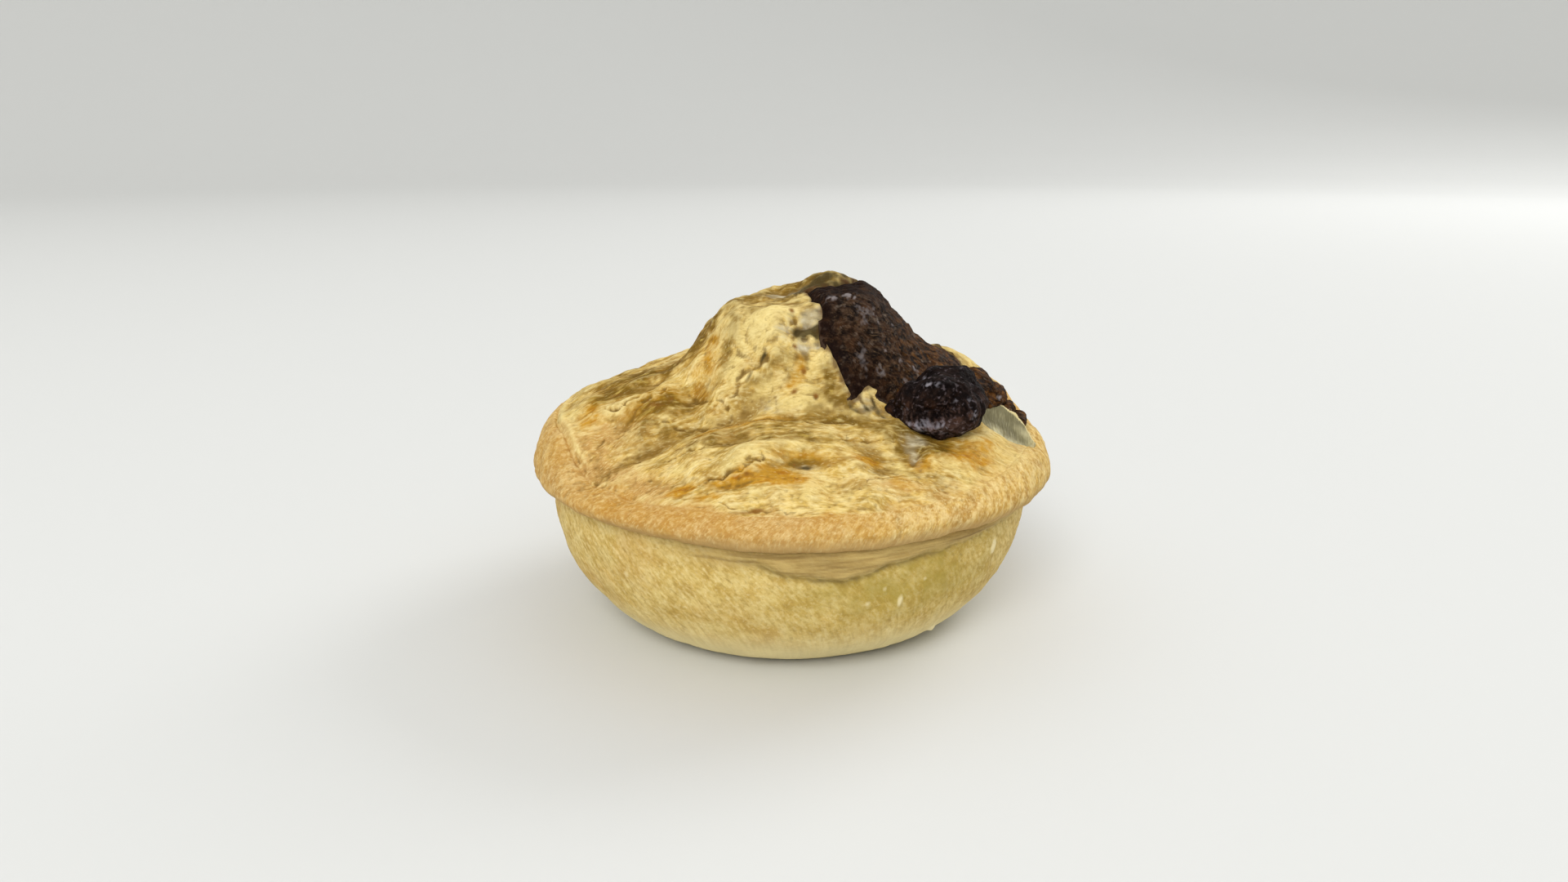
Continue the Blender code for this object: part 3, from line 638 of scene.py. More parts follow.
# Tints of the crust, by kind: middle x and y, reach along and across, turn, strength.
CRUST_TINTS = {
    "browned": (
        (-11.2, -24, 1.5, 0.8, 10, 0.9), (-8.4, -25.8, 1.3, 0.6, 0, 0.6), (-5.4, -23.5, 2, 0.9, 12, 0.9),
        (-1, -23.6, 2.6, 1.4, -4, 0.95), (1.6, -21, 2.6, 0.8, 0, 0.5), (8.6, -19.8, 1.5, 0.9, 0, 0.8),
        (14.6, -18.9, 1.6, 1.2, 30, 0.9), (19.4, -17, 2.6, 1.4, 20, 0.7), (17, -15.6, 3.6, 1, 20, 0.5),
        (23, -14, 3.4, 1.6, 50, 0.3), (-23.4, -11.6, 1.8, 0.7, 10, 0.35), (-15.8, -10.2, 2.8, 1.5, 15, 1),
        (-19.6, -8, 1.6, 0.6, 20, 0.4), (-23.6, -8.6, 1.2, 2.6, 0, 0.5), (1.2, -9.6, 0.9, 0.6, 60, 0.4),
        (-10, -9.4, 2.2, 1, 40, 0.3), (-3, -13.6, 4, 0.5, -5, 0.35), (-4, -23.6, 3.8, 0.9, -4, 0.9),
        (-18, -3, 6.5, 3.2, 20, 0.65), (-13, 1, 3.5, 4, 0, 0.5), (-9.6, -5.6, 1.2, 3, -20, 0.3),
        (-7.6, -14.4, 3, 1, 10, 0.35), (3.6, 3, 3, 1.6, 10, 0.45), (0.4, -10.8, 1.2, 0.6, 20, 0.45),
    ),
    "caught": (
        (0.4, -5.9, 0.4, 0.3, 0, 1), (0.5, -11.4, 0.5, 0.25, 10, 1), (0.6, -8.6, 0.4, 0.22, 0, 0.9),
        (1.6, -10, 0.35, 0.3, 0, 0.8), (-2.2, -4.9, 0.5, 0.25, 0, 0.7), (-4.6, -23, 1.2, 0.3, 12, 0.7),
        (-10.4, -24, 1, 0.35, 10, 0.7), (-15.8, -10.2, 2.2, 1, 10, 0.5), (-20.6, -7, 1.6, 0.7, 10, 0.4),
        (3, -11.7, 0.3, 0.25, 0, 1), (-3.8, -28.2, 2.4, 0.3, 5, 0.8),
    ),
    "shade": (
        (-18.5, -2.4, 7, 3, 12, 0.9), (-14, -2, 4.5, 2.4, 20, 0.8), (-15, 5.5, 8, 3.5, 0, 0.35),
        (-21, 3, 4, 4, 0, 0.4), (14.4, -17.2, 2.8, 1.8, 10, 1), (-21, -6.8, 3.6, 1.5, 10, 1),
        (-15.6, -10.4, 2.8, 1.5, 10, 1), (-12, 1, 3.5, 4, 0, 0.5), (-12, -13.6, 4, 0.9, 10, 0.45),
        (-12.4, -10.6, 3, 0.9, 12, 0.5), (-3, 1.4, 5, 2.4, 10, 0.7), (-4, -15.4, 7.5, 1.2, 3, 0.45),
        (7, -13.6, 5, 1.5, -4, 0.75), (5.6, -11.2, 1.6, 0.7, -20, 0.55), (2.4, -5, 1.6, 1.2, 30, 0.4),
        (4.5, 3.4, 7, 4.4, 12, 1), (-1, -17.6, 8, 1.2, -3, 0.5), (14.8, -15, 3.6, 2.2, 10, 0.95),
        (-9, -17.6, 5, 1.2, 8, 0.4), (-16.8, -13.4, 3.4, 1.3, 12, 0.4), (7.2, -11.9, 1.2, 0.4, -10, 0.8),
        (-2.4, -3.6, 4.4, 1.4, 5, 0.6), (-7, -7, 1, 2.4, -30, 0.5), (-2.6, -9.9, 3.4, 0.5, 15, 0.5),
        (4.4, -10.5, 1.3, 0.9, -15, 0.7), (1.2, -21.6, 2.2, 0.8, 5, 0.6),
    ),
    # Painted shade: in the cracks and holes, along the front of the tear and under the hood's overhang, and
    # one dark spot on the apron.
    "dark": (
        (3.4, 1.5, 3.6, 1.9, 10, 0.75), (7.4, 2.4, 2.4, 1.6, 10, 0.6), (1.8, -7.5, 2.1, 0.42, 6, 1),
        (3.3, -7.6, 0.8, 0.4, 0, 1), (-3.2, -9.3, 0.5, 0.16, 30, 0.7), (-4.7, -9.9, 0.5, 0.2, 30, 0.7),
        (8.6, -11.6, 0.9, 0.24, -30, 0.6), (10.4, -11.9, 1, 0.24, -25, 0.6),
        (9.8, -11.1, 0.9, 0.22, -40, 0.6), (7.4, -12.2, 0.8, 0.24, -20, 0.5),
        (1.6, -22.2, 1.1, 0.35, 5, 0.7), (3, -11.8, 0.3, 0.2, 0, 0.8),
    ),
    "cream": (
        (4.6, 0.5, 3.2, 0.3, 14, 0.9), (-3.1, -8, 1.5, 1, 35, 1), (-6.6, -8.9, 1.7, 1.1, 60, 1),
        (-4.4, -6.7, 1.6, 0.9, 0, 0.9), (-9.2, -9, 1.4, 0.8, 40, 0.8), (-2.8, -11.4, 1.7, 1.1, 0, 1),
        (1, -12, 4.4, 1.2, 2, 1), (-0.4, -9.5, 2, 0.7, 10, 0.7), (3.4, -9.6, 1.6, 0.9, -10, 0.9),
        (5.8, -12.8, 2.2, 0.7, 0, 0.7), (-6.4, -12.6, 3.4, 1.1, 10, 0.85), (-2, -6, 2, 1, 0, 0.6),
        (10.6, -10.5, 1.2, 0.6, 0, 0.6), (-25.4, -8.6, 0.8, 3.4, -20, 0.8),
        (-20.8, -10.6, 1.5, 0.8, 10, 0.8), (-6.6, -22, 2.8, 0.7, 22, 0.9),
        (-13.6, -24.4, 1.4, 0.8, 0, 0.8), (2.4, -25.6, 6, 1.7, 0, 0.6), (14.9, -17.4, 0.8, 1.8, 20, 0.8),
        (11.6, -20.4, 2.6, 1.2, 20, 0.7), (24.6, -12.4, 3.4, 3, 50, 0.8), (20, -18.4, 5, 2.6, 40, 0.6),
        (-17, -19.4, 4, 2.2, 45, 0.45),
    ),
    "tan": (
        (-20, -13.2, 4.5, 2.2, 10, 0.7), (-21, -18.2, 6, 2.6, -45, 0.8), (-16, -22.6, 4, 2.2, -30, 0.7),
        (11.4, -23.6, 3, 1, 8, 0.6), (-8, -16.6, 3.4, 1, 8, 0.5),
    ),
    "damp": (
        (2.4, -6.4, 1.8, 0.7, 10, 1), (2.2, -8.4, 1.8, 0.3, 5, 0.9), (-0.6, -7.8, 1.3, 0.5, 20, 0.5),
        (-0.5, 1.6, 2.6, 1, 5, 0.8), (1.5, -22.2, 1.3, 0.5, 5, 0.35), (14.2, -16.2, 1.4, 0.8, 15, 0.9),
        (13.6, -18.4, 0.6, 1.6, 20, 0.6), (-2.4, -12.2, 1.2, 0.7, 0, 0.4), (9, -11.6, 2.4, 0.8, 0, 0.35),
    ),
}


def tint_share(spots, kind):
    """How strongly one kind of tint colours each point, with ragged edges."""
    x, y, _ = spots.T
    ragged = noises(spots, (0.42, 1.5, 31), (0.30, 0.6, 32))
    total = 1.0 - np.prod([1.0 - row[-1] * hill(x, y, *row[:-1]) for row in CRUST_TINTS[kind]], axis=0)
    return np.clip(total + np.minimum(1.0, 3.0 * total) * ragged, 0.0, 1.0)


def paint_crust(thing, spots, edge, grain):
    """Keeps where the crust is browned, cream, damp or shaded, and which way its grain runs."""
    x, y, _ = spots.T
    radius = np.hypot(x, y)
    band = smooth(BAND_START, BAND_END, radius + noises(spots, (1.5, 5, 39), (0.6, 1.4, 40)))
    blush = 0.5 + noises(spots, (0.5, 6.5, 33), (0.35, 2.4, 34))
    pale = 0.5 + noises(spots, (0.5, 3.8, 35), (0.35, 1.3, 36))
    turns = (150, 190, 215, 240, 272, 290, 330)
    baked = np.interp(np.degrees(np.arctan2(y, x)) % 360.0, turns, (0.5, 0.5, 0.6, 0.8, 0.7, 0.35, 0.15))
    browned = np.maximum(tint_share(spots, "browned"), 0.4 * smooth(0.7, 1.2, blush))
    browned = browned * (1.0 - band) + 0.36 * band * baked * (0.3 + smooth(0.2, 0.9, blush))
    cream = np.maximum(tint_share(spots, "cream"), 0.7 * smooth(0.6, 1.1, pale) * (1.0 - 0.4 * band))
    edging = groove_share(x, y) * bell(radius, RIDGE_RADIUS, 0.6) * (0.8 + 0.6 * noise_at(spots, 1.4, 38))
    behind = smooth(-2, 6, y) * (1.0 - band)
    shade = np.maximum(tint_share(spots, "shade"), 0.45 * behind * smooth(0.3, 0.9, blush))
    tan = np.maximum(band * baked, tint_share(spots, "tan"))
    stain = np.exp(-np.abs(edge) / 0.6) * (1.0 + 1.1 * noise_at(spots, 1, 37))
    plain = {kind: tint_share(spots, kind) for kind in ("damp", "dark", "caught")}
    store(thing, browned=browned, cream=np.maximum(cream, edging), shade=shade * (1.0 - band), **plain)
    store(thing, stain=stain, tan=tan, band=0.4 * band, grain=grain)


# --- Rim: the rolled edge of the lid ---

RIM_STEPS = 880
RIM_TOP_RINGS = 52
RIM_LOWER_RINGS = 30

# Where the rim is cracked at its left: middle x and y, reach along and across, turn, depth.
RIM_CRACKS = (-20.5, -20.5, 8, 3, -45, 0.4)


def rim_relief(spots):
    """Height of the rim's soft dents and upright grains above its smooth roll."""
    relief = noises(spots, (0.22, 3.4, 41), (0.10, (1.2, 1.2, 1.8), 42), (0.045, (0.45, 0.45, 0.8), 43))
    return relief - raised(spots[:, 0], spots[:, 1], (RIM_CRACKS,)) * puffs_at(spots, 1.5, 44)


def make_rim():
    """The rolled rim: from under the crown's edge, over the roll and in along the seam."""
    roll = RIM_RADIUS - CREASE_RADIUS
    lower = (ROLL_HEIGHT - SEAM_HEIGHT) / math.sin(math.radians(ROLL_UNDERCUT_ANGLE))
    profile = [(26.0, 19.0), (26.6, 20.3), (27.8, 21.0)]
    profile += [(float(radius), 22.0) for radius in np.linspace(28.2, CREASE_RADIUS, 5)[:-1]]
    for turn in np.radians(np.linspace(90.0, 0.0, RIM_TOP_RINGS)):
        profile.append((CREASE_RADIUS + roll * math.cos(turn), ROLL_HEIGHT + ROLL_RISE * math.sin(turn)))
    for turn in np.radians(np.linspace(0.0, 78.0, RIM_LOWER_RINGS))[1:]:
        profile.append((CREASE_RADIUS + roll * math.cos(turn), ROLL_HEIGHT - lower * math.sin(turn)))
    profile += [(28.2, SEAM_HEIGHT - 0.6), (26.4, SEAM_HEIGHT - 0.3)]
    rim = turned("lid_rim", profile, RIM_STEPS)

    x, y, z = points_of(rim).T.copy()
    radius = np.hypot(x, y)
    cosine = np.clip((radius - CREASE_RADIUS) / roll, 0.0, 1.0)
    on_top = (z > ROLL_HEIGHT - 1e-4) & (radius > CREASE_RADIUS - 1e-4)
    surface = lid_surface(x, y)
    groove = groove_share(x, y)
    sink = groove * 0.36 * (1.0 - smooth(28.9, 29.5, radius))
    sink += (1.0 - groove) * 0.35 * (1.0 - smooth(28.6, 29.3, radius))
    tucked = surface - 1.3 - 1.2 * (28.8 - radius)
    below = z + seam_wave(x, y) * smooth(ROLL_HEIGHT, SEAM_HEIGHT, z)
    under_crown = (z > ROLL_HEIGHT) & ~on_top
    height = np.where(on_top, surface - sink, np.where(under_crown, tucked, below))
    spots = np.column_stack([x, y, height])
    lift = np.where(z > ROLL_HEIGHT, np.sqrt(np.clip(1.0 - cosine**2, 0.0, 1.0)), 0.5 * cosine - 0.5)
    normals = unit(np.column_stack([flat_out(x, y) * np.maximum(cosine, 0.15)[:, None], lift]))
    open_face = smooth(28.5, 29.2, radius) * smooth(SEAM_HEIGHT - 0.8, SEAM_HEIGHT, z)
    shaped = spots + normals * (rim_relief(spots) * open_face)[:, None]
    shaped[:, :2] *= out_of_round(x, y, height)
    move_points(rim, shaped)

    down = radius - height
    turn = np.arctan2(y, x) + 0.5 * down / RIM_RADIUS
    upright = np.column_stack([RIM_RADIUS * np.cos(turn), RIM_RADIUS * np.sin(turn), 0.45 * down])
    paint_crust(rim, spots, np.full(len(x), np.inf), upright)
    # The rim's broad value is even, so no broad painted shade or highlight falls on it.
    store(rim, fold=smooth(ROLL_HEIGHT + 0.2, SEAM_HEIGHT + 0.4, height), hollow_broad=np.full(len(x), 0.5))
    store_hollows(rim, hollow_fine=(5, 0.05), hollow_wide=(60, 0.30))
    finish_piece(rim, bpy.data.materials["flaky_pastry_baked_golden"], "pastry_lid")


# --- Case: the pastry bowl ---

CASE_STEPS = 820
WALL_RINGS = 96
# Lower edge of the lip squeezed out under the rim: degrees round the pie, height.
LIP_EDGE = (
    (-104, 16.8), (-97, 16), (-91, 15.2), (-85, 14.4), (-79, 14.2), (-75, 14.7), (-71, 15.4), (-64, 15.7),
    (-55, 16.2), (-45, 16.5), (-12, 16.9),
)
LIP_PROUD = 0.8
GRAIN_SLANT = 0.8


def lip_share(x, y, z):
    """1 on the lip under the rim at the front right, 0 off it."""
    degrees = np.degrees(np.arctan2(y, x))
    turns, heights = zip(*LIP_EDGE)
    edge = np.interp(degrees, turns, heights) + 0.4 * noise_at(np.column_stack([x, y, z]), 2.6, 51)
    ends = smooth(-108, -92, degrees) * (1.0 - smooth(-22, -8, degrees))
    return ends * smooth(edge - 0.5, edge + 0.6, z)


def wall_grain(x, y, z):
    """Places measured round and up the wall, turned so that the pastry's grain slants."""
    up = z + 0.9 * (WALL_RADIUS - wall_radius(z))
    turn = np.arctan2(y, x) + GRAIN_SLANT * up / WALL_RADIUS
    return np.column_stack([WALL_RADIUS * np.cos(turn), WALL_RADIUS * np.sin(turn), 0.8 * up])


# Pale nubs of dry dough on the case: degrees round the pie, height, reach round and up, how proud.
NUBS = (
    (-66, 10.4, 0.35, 0.85, 0.1), (-39, 13.6, 0.55, 0.8, 0.18), (-48, 3.3, 0.7, 0.4, 0.35),
    (-73.5, 10.6, 0.45, 0.45, 0.06), (-70, 12.2, 0.35, 0.4, 0.06), (-60.5, 12.6, 0.3, 0.35, 0.06),
    (-103, 11.6, 0.5, 0.4, 0.05), (-128, 12, 0.5, 0.5, 0.06), (-20, 8, 0.5, 0.7, 0.12),
    (95, 11, 0.5, 0.8, 0.12), (150, 8, 0.5, 0.6, 0.1), (40, 12.5, 0.6, 0.5, 0.12),
)


def nub_height(x, y, z):
    """How far the pale nubs stand out."""
    degrees = np.degrees(np.arctan2(y, x))
    total = np.zeros(len(x))
    for degree, height, reach, rise, proud in NUBS:
        far = ((degrees - degree + 180.0) % 360.0 - 180.0) * math.radians(WALL_RADIUS)
        total = np.maximum(total, proud * hill(far, z, 0.0, height, reach, rise))
    return total


def make_case():
    """The bowl: its curved wall, flat bottom and the top that the lid sits on."""
    rings = [(27.0, CASE_HEIGHT), (28.0, CASE_HEIGHT + 0.5)]
    heights = [CASE_HEIGHT * (1.0 - step / WALL_RINGS) ** 1.25 for step in range(WALL_RINGS)]
    wall = [(float(wall_radius(height)), height) for height in heights]
    wall[0] = (WALL_RADIUS - 0.2, CASE_HEIGHT + 0.45)
    bottom = [(float(radius), 0.0) for radius in np.linspace(BASE_RADIUS - 0.1, 0.0, 14)]
    inside = [(0.0, 3.0), (17.0, 3.0), (25.4, 13.0), (25.4, 16.5)]
    case = turned("case_crust", rings + wall + bottom + inside, CASE_STEPS)

    points = points_of(case)
    x, y, z = points.T.copy()
    outside = smooth(-0.5, -0.1, np.hypot(x, y) - wall_radius(z)) * smooth(0, 2, z)
    step = 0.2
    lean = (wall_radius(z + step) - wall_radius(z - step)) / (2.0 * step)
    normals = unit(np.column_stack([flat_out(x, y), -lean]))
    lip = lip_share(x, y, z)
    grain = wall_grain(x, y, z)
    nubs = nub_height(x, y, z)
    relief = 0.13 * noise_at(points, 3.4, 52) + noises(grain, (0.07, 1, 53), (0.045, 0.45, 54))
    relief = relief * (1.0 - 0.75 * lip) + nubs + 0.16 * lip * noise_at(points, (6, 6, 0.6), 55)
    shaped = points + normals * (relief * outside)[:, None]
    proud = LIP_PROUD * lip + WALL_WAVE * lumps(x, y, z, WALL_WAVE_LENGTH)
    shaped[:, :2] += flat_out(x, y) * (proud * outside)[:, None]
    shaped[:, 2] += seam_wave(x, y) * smooth(0.8, 1.0, z / CASE_HEIGHT)
    shaped[:, 2] = np.maximum(shaped[:, 2], 0.0)
    move_points(case, shaped)

    degrees = np.degrees(np.arctan2(y, x))
    # Painted shade: the olive share rises on the wall below the lip at the front right, over an even olive
    # tone.
    shaded = bell(degrees, -65, 22) * smooth(5, 12.5, z) * (1.0 - lip)
    olive = (0.10 + 0.7 * shaded) * (1.0 + noises(points, (0.6, 3, 56), (0.4, 1, 59)))
    sides = 0.2 * bell(degrees, -8, 20) + 0.25 * bell(degrees, -172, 12)
    warm = noises(points, (0.35, 7, 57), (0.2, 2.5, 58)) + sides * (0.8 + 0.9 * noise_at(points, 4, 60))
    lip = np.maximum(lip, smooth(14.6, 16.6, z) * 0.8 * bell(degrees, -100, 14))
    # The foot share is painted light: the wall turns paler towards the bottom, offsetting the shade there.
    store(case, lip=lip, olive=olive, warm=warm, nubs=nubs * 12.0, foot=1.0 - smooth(1.5, 8, z))
    store(case, grain=grain, level=shaped * (0.1, 0.1, 1.0))
    store_hollows(case, hollow_fine=(5, 0.05), hollow_wide=(60, 0.25))
    finish_piece(case, shortcrust(), "pastry_case")


# --- Mince ---

FILLING_SWELL = 0.7
MINCE_CELLS = (230, 215)
MINCE_MIDDLE = (14.0, -1.6)
MINCE_HALF = (13.5, 12.5)
MINCE_FLOOR = 14.0
MINCE_TUCK = 0.45

# Pale flecks on the mince, partly fat and partly painted highlight: x, y, reach along and across, turn,
# strength.
FLECKS = (
    (4.9, -4.8, 0.7, 0.6, 0, 1), (7.3, -4.3, 0.9, 0.7, 10, 1), (6.4, -4.6, 0.3, 0.3, 0, 0.6),
    (8.8, -5.8, 1.6, 1.2, 30, 0.45), (10.4, -5, 0.4, 0.8, 20, 0.5), (11.4, -7, 0.3, 0.5, -20, 0.6),
    (8.6, -9, 1.1, 1, 0, 0.4), (13.4, -6.6, 0.3, 0.6, -30, 0.5), (14.2, -8.2, 0.9, 0.5, -30, 0.6),
    (15.6, -7.6, 0.4, 0.6, -30, 0.5), (15.2, -5.6, 0.5, 0.3, 0, 0.8), (17, -6.6, 0.8, 0.5, 20, 0.7),
    (18.6, -5.6, 0.5, 0.3, 20, 0.6), (10.8, -9, 0.7, 0.5, 0, 0.6), (12.6, -3.6, 0.4, 0.3, 0, 0.6),
)

# Where the mince is greyer, and where shade is painted on it below the hood: middle x and y, reach along
# and across, turn, strength.
GREY_MINCE = (9, -5.5, 4.2, 4, -30, 1.1)
CHARRED_MINCE = (6.5, -0.8, 5, 3.2, 0, 1)


def mince_plan(u, v):
    """Sets a square grid out over the burst."""
    return MINCE_MIDDLE[0] + MINCE_HALF[0] * u, MINCE_MIDDLE[1] + MINCE_HALF[1] * v


def filling_surface(x, y):
    """Height of the mince's face: tucked under the torn crust, swelling past it inside."""
    edge = tear_distance(x, y)
    hood = 0.75 * raised(x, y, LID_HILLS[1:2]) * smooth(-3, 0, edge)
    form = lid_form(x, y) + raised(x, y, LID_HILLS[2:3]) + hood
    return form + FILLING_SWELL - (FILLING_SWELL + 0.35) * smooth(-1.3, 0.2, edge)


def mince_relief(spots, seed):
    """Height of the mince's crumbs, strands and fine grain."""
    bent = spots + 0.5 * noise_at(spots, 2.5, seed)[:, None]
    near, own = grains_at(bent, 1.9, seed + 1)
    crumbs = np.clip(1.0 - near**2 * 1.6, 0.0, 1.0) * (0.4 + 0.6 * own)
    strands = puffs_at(bent, (2, 0.6, 0.8), seed + 3)
    middling, fine = noise_at(bent, 1.1, seed + 2), noise_at(spots, 0.36, seed + 4)
    return 0.24 * crumbs + 0.16 * strands + 0.13 * middling + 0.05 * fine - 0.2


def grown(outline, by):
    """A closed outline moved outwards."""
    run = np.roll(outline, -2, axis=0) - np.roll(outline, 2, axis=0)
    return outline + by * unit(np.stack([run[:, 1], -run[:, 0]], axis=1))


def store_mince_tints(thing, spots, pale, grain=None):
    """Keeps the pale flecks, partly fat and partly painted highlight, where the mince is redder or greyer,
    and how its strands run.
    """
    x, y, z = spots.T
    if grain is None:
        strands = np.column_stack([0.45 * (x - 0.6 * z), z + 0.6 * x, y])
        grain = strands + 0.8 * noise_at(spots, 3, 73)[:, None]
    fleck = pale * (0.9 + noises(spots, (1.5, 0.8, 71), (1.1, 0.35, 72)))
    rusty = 0.1 + 0.9 * smooth(10, 18, x) + 0.5 * noise_at(spots, 3, 74)
    grey = raised(x, y, (GREY_MINCE,)) + 0.4 * noise_at(spots, 2, 75)
    store(thing, fleck=fleck, rusty=rusty, grey=grey, grain=grain)


def make_mince():
    """The face of the filling in the burst, tucked under the torn edge all round."""
    mince = flat_block("burst_mince", MINCE_CELLS, mince_plan)
    cut_outline(mince, grown(TEAR, MINCE_TUCK), "INTERSECT")
    x, y, flat_z = points_of(mince).T.copy()
    low = flat_z < -0.5
    spots = np.column_stack([x, y, filling_surface(x, y)])
    shaped = spots + slopes(lid_form, x, y) * mince_relief(spots, 61)[:, None]
    shaped[low] = np.column_stack([x, y, np.full(len(x), MINCE_FLOOR)])[low]
    move_points(mince, shaped)
    store_mince_tints(mince, spots, strongest(x, y, FLECKS))
    # Painted shade on the mince along the left part of the torn edge, where the crust lies over it, and
    # below the hood.
    charred = np.exp(-np.abs(tear_distance(x, y)) / 1.4) * (1.0 - smooth(8, 14, x))
    charred = np.maximum(charred, raised(x, y, (CHARRED_MINCE,)))
    store(mince, charred=charred * (1.0 + 0.8 * noise_at(spots, 1.2, 76)))
    store_hollows(mince, hollow_fine=(5, 0.06), hollow_wide=(50, 0.25))
    finish_piece(mince, cooked_mince(), "mince_filling")


def mince_ball(name, middle, reach, detail, seed, grain, taper=0.0):
    """An uneven ball of mince, drawn out to a point at its left by the taper, and its coarse points."""
    bpy.ops.mesh.primitive_ico_sphere_add(subdivisions=detail, radius=1.0, location=(0.0, 0.0, 0.0))
    ball = bpy.context.object
    ball.name = ball.data.name = name
    way = unit(points_of(ball))
    drawn = np.maximum(-way[:, 0], 0.0) ** 1.4
    full = np.column_stack([1.0 + 0.36 * taper * drawn, 1.0 - taper * drawn, 1.0 - taper * drawn])
    points = middle + way * reach * full
    points[:, 2] += 0.12 * taper * (points[:, 0] - middle[0]) - 0.1 * taper * reach[2] * drawn
    coarse = lumps(*points.T, grain) + 0.5 * lumps(*points.T, 0.55 * grain)
    spots = points + way * (0.19 * grain * coarse)[:, None]
    move_points(ball, spots + way * mince_relief(spots, seed)[:, None])
    return ball, spots


LUMP_MIDDLE = (17.4, -11.4, 28.6)
LUMP_REACH = (5.1, 5.0, 4.2)
LUMP_GRAIN = 4.0
LUMP_TAPER = 0.58
# Middle of the fine rings on the lump's front: x, z.
RINGS_MIDDLE = (17.5, 28.5)
# Dents (below 0) and swells on the lump's front: x, z, reach along and up, turn, height.
LUMP_FRONT = (
    (16.2, 28.2, 1.9, 1.0, 10, -1.4),
    (16.6, 26.6, 3.4, 1.3, 5, 0.7),
    (15.4, 27.5, 2.2, 0.4, 12, -0.5),
    (20.2, 28.6, 0.7, 2.2, 10, 0.6),
)
# Lobes of the lump: x, z, reach along and up, turn, height.
LUMP_LOBES = ((20.8, 26.2, 2.1, 1.9, 0, 0.4), (14.0, 26.2, 1.9, 1.6, 0, 0.5))
# Pale flecks on the front of the lump, partly fat and partly painted highlight: x, z, reach along and up,
# turn, strength.
LUMP_FLECKS = (
    (16, 31.3, 0.8, 0.35, 10, 0.9), (20.4, 28.8, 0.35, 1.1, 10, 0.9), (15, 26.8, 1.2, 0.6, 20, 0.7),
    (17.2, 26.6, 0.7, 0.9, 30, 0.7), (13.6, 26.6, 0.7, 0.5, 0, 0.5), (12.9, 28.2, 0.4, 0.35, 0, 0.6),
    (15.2, 29.8, 0.3, 0.3, 0, 0.4), (18.6, 29.8, 0.9, 0.3, 30, 0.35), (19.2, 26.4, 0.9, 0.3, -20, 0.35),
)


def make_lump():
    """The loose lump of mince: an uneven ball whose underside follows what it lies on."""
    lump, spots = mince_ball("loose_lump", LUMP_MIDDLE, LUMP_REACH, 7, 81, LUMP_GRAIN, LUMP_TAPER)
    points = points_of(lump)
    x, y, z = spots.T
    front = smooth(-9, -12, y)
    points[:, 1] -= front * raised(x, z, LUMP_FRONT)
    right, up = x - RINGS_MIDDLE[0], z - RINGS_MIDDLE[1]
    rings = np.column_stack([np.hypot(right, up), np.arctan2(up, right), 0.3 * y])
    outward = unit(spots - LUMP_MIDDLE)
    bumps = 0.16 * noise_at(rings, 0.55, 87) + 0.6 * noise_at(spots, 3, 88)
    points += outward * (bumps + raised(x, z, LUMP_LOBES))[:, None]
    points[:, 2] = np.maximum(points[:, 2], lid_surface(points[:, 0], points[:, 1]) - 0.1)
    move_points(lump, points)
    store_mince_tints(lump, spots, strongest(x, z, LUMP_FLECKS) * front, rings)
    # The lump is made darker towards its top.
    store(lump, charred=smooth(28, 31.5, z), lobe=hill(x, z, 16, 26.4, 3.6, 1.2, 5) * front)
    store_hollows(lump, hollow_fine=(5, 0.06), hollow_wide=(50, 0.25))
    finish_piece(lump, browned_mince(), "mince_lump")


# Mince spilled off the right end of the burst: middle x, y, z and reach x, y, z.
SPILLS = (
    ((22.6, -3.2, 28.2), (2.7, 3.6, 2.5)),
    ((24.6, -2.6, 26.9), (2.5, 3.5, 2.1)),
    ((26.4, -2.4, 25.5), (2.1, 3.0, 1.7)),
    ((28.0, -2.8, 24.4), (1.6, 2.3, 1.35)),
    ((25.0, 2.2, 26.0), (2.9, 3.2, 2.0)),
    ((27.4, 1.4, 24.2), (1.9, 2.6, 1.4)),
)
SPILL_GRAIN = 3.4
# A painted highlight on the spilled mince: x, z, reach along and up, turn, strength.
SPILL_FLECK = (25.8, 27.6, 0.5, 0.35, 0, 0.7)


def make_spill():
    """The small bits of mince that fell from the burst's right end."""
    balls = []
    for number, (middle, reach) in enumerate(SPILLS):
        ball, spots = mince_ball("spilled_mince", middle, reach, 6, 101 + 10 * number, SPILL_GRAIN)
        store_mince_tints(ball, spots, raised(spots[:, 0], spots[:, 2], (SPILL_FLECK,)))
        store_hollows(ball, hollow_fine=(5, 0.06), hollow_wide=(30, 0.25))
        balls.append(ball)
    choose(balls[0])
    for ball in balls:
        ball.select_set(True)
    bpy.ops.object.join()
    finish_piece(balls[0], bpy.data.materials["stewed_minced_beef"], "mince_filling")


# --- Torn inner layer ---

# The torn layer's foot on the crust, its free rim and its back foot: x, y, z, from left to right.
FLAP_FOOT = (
    (21.4, -9.2, 24.7), (24.5, -8.9, 24.0), (26.2, -9.7, 23.1), (27.7, -10.3, 22.3), (28.9, -9.9, 21.9),
)
FLAP_RIM = (
    (22.0, -5.4, 28.7), (24.2, -5.0, 27.8), (26.4, -5.0, 26.4), (28.3, -5.6, 25.0), (29.6, -8.0, 22.8),
)
FLAP_BACK = (
    (21.6, -3.6, 26.6), (24.4, -2.6, 25.2), (27.4, -2.2, 23.6), (29.6, -3.2, 22.4), (30.2, -7.6, 21.6),
)
FLAP_SAG = 0.9
FLAP_THICKNESS = 0.4
FLAP_CELLS = (110, 90)


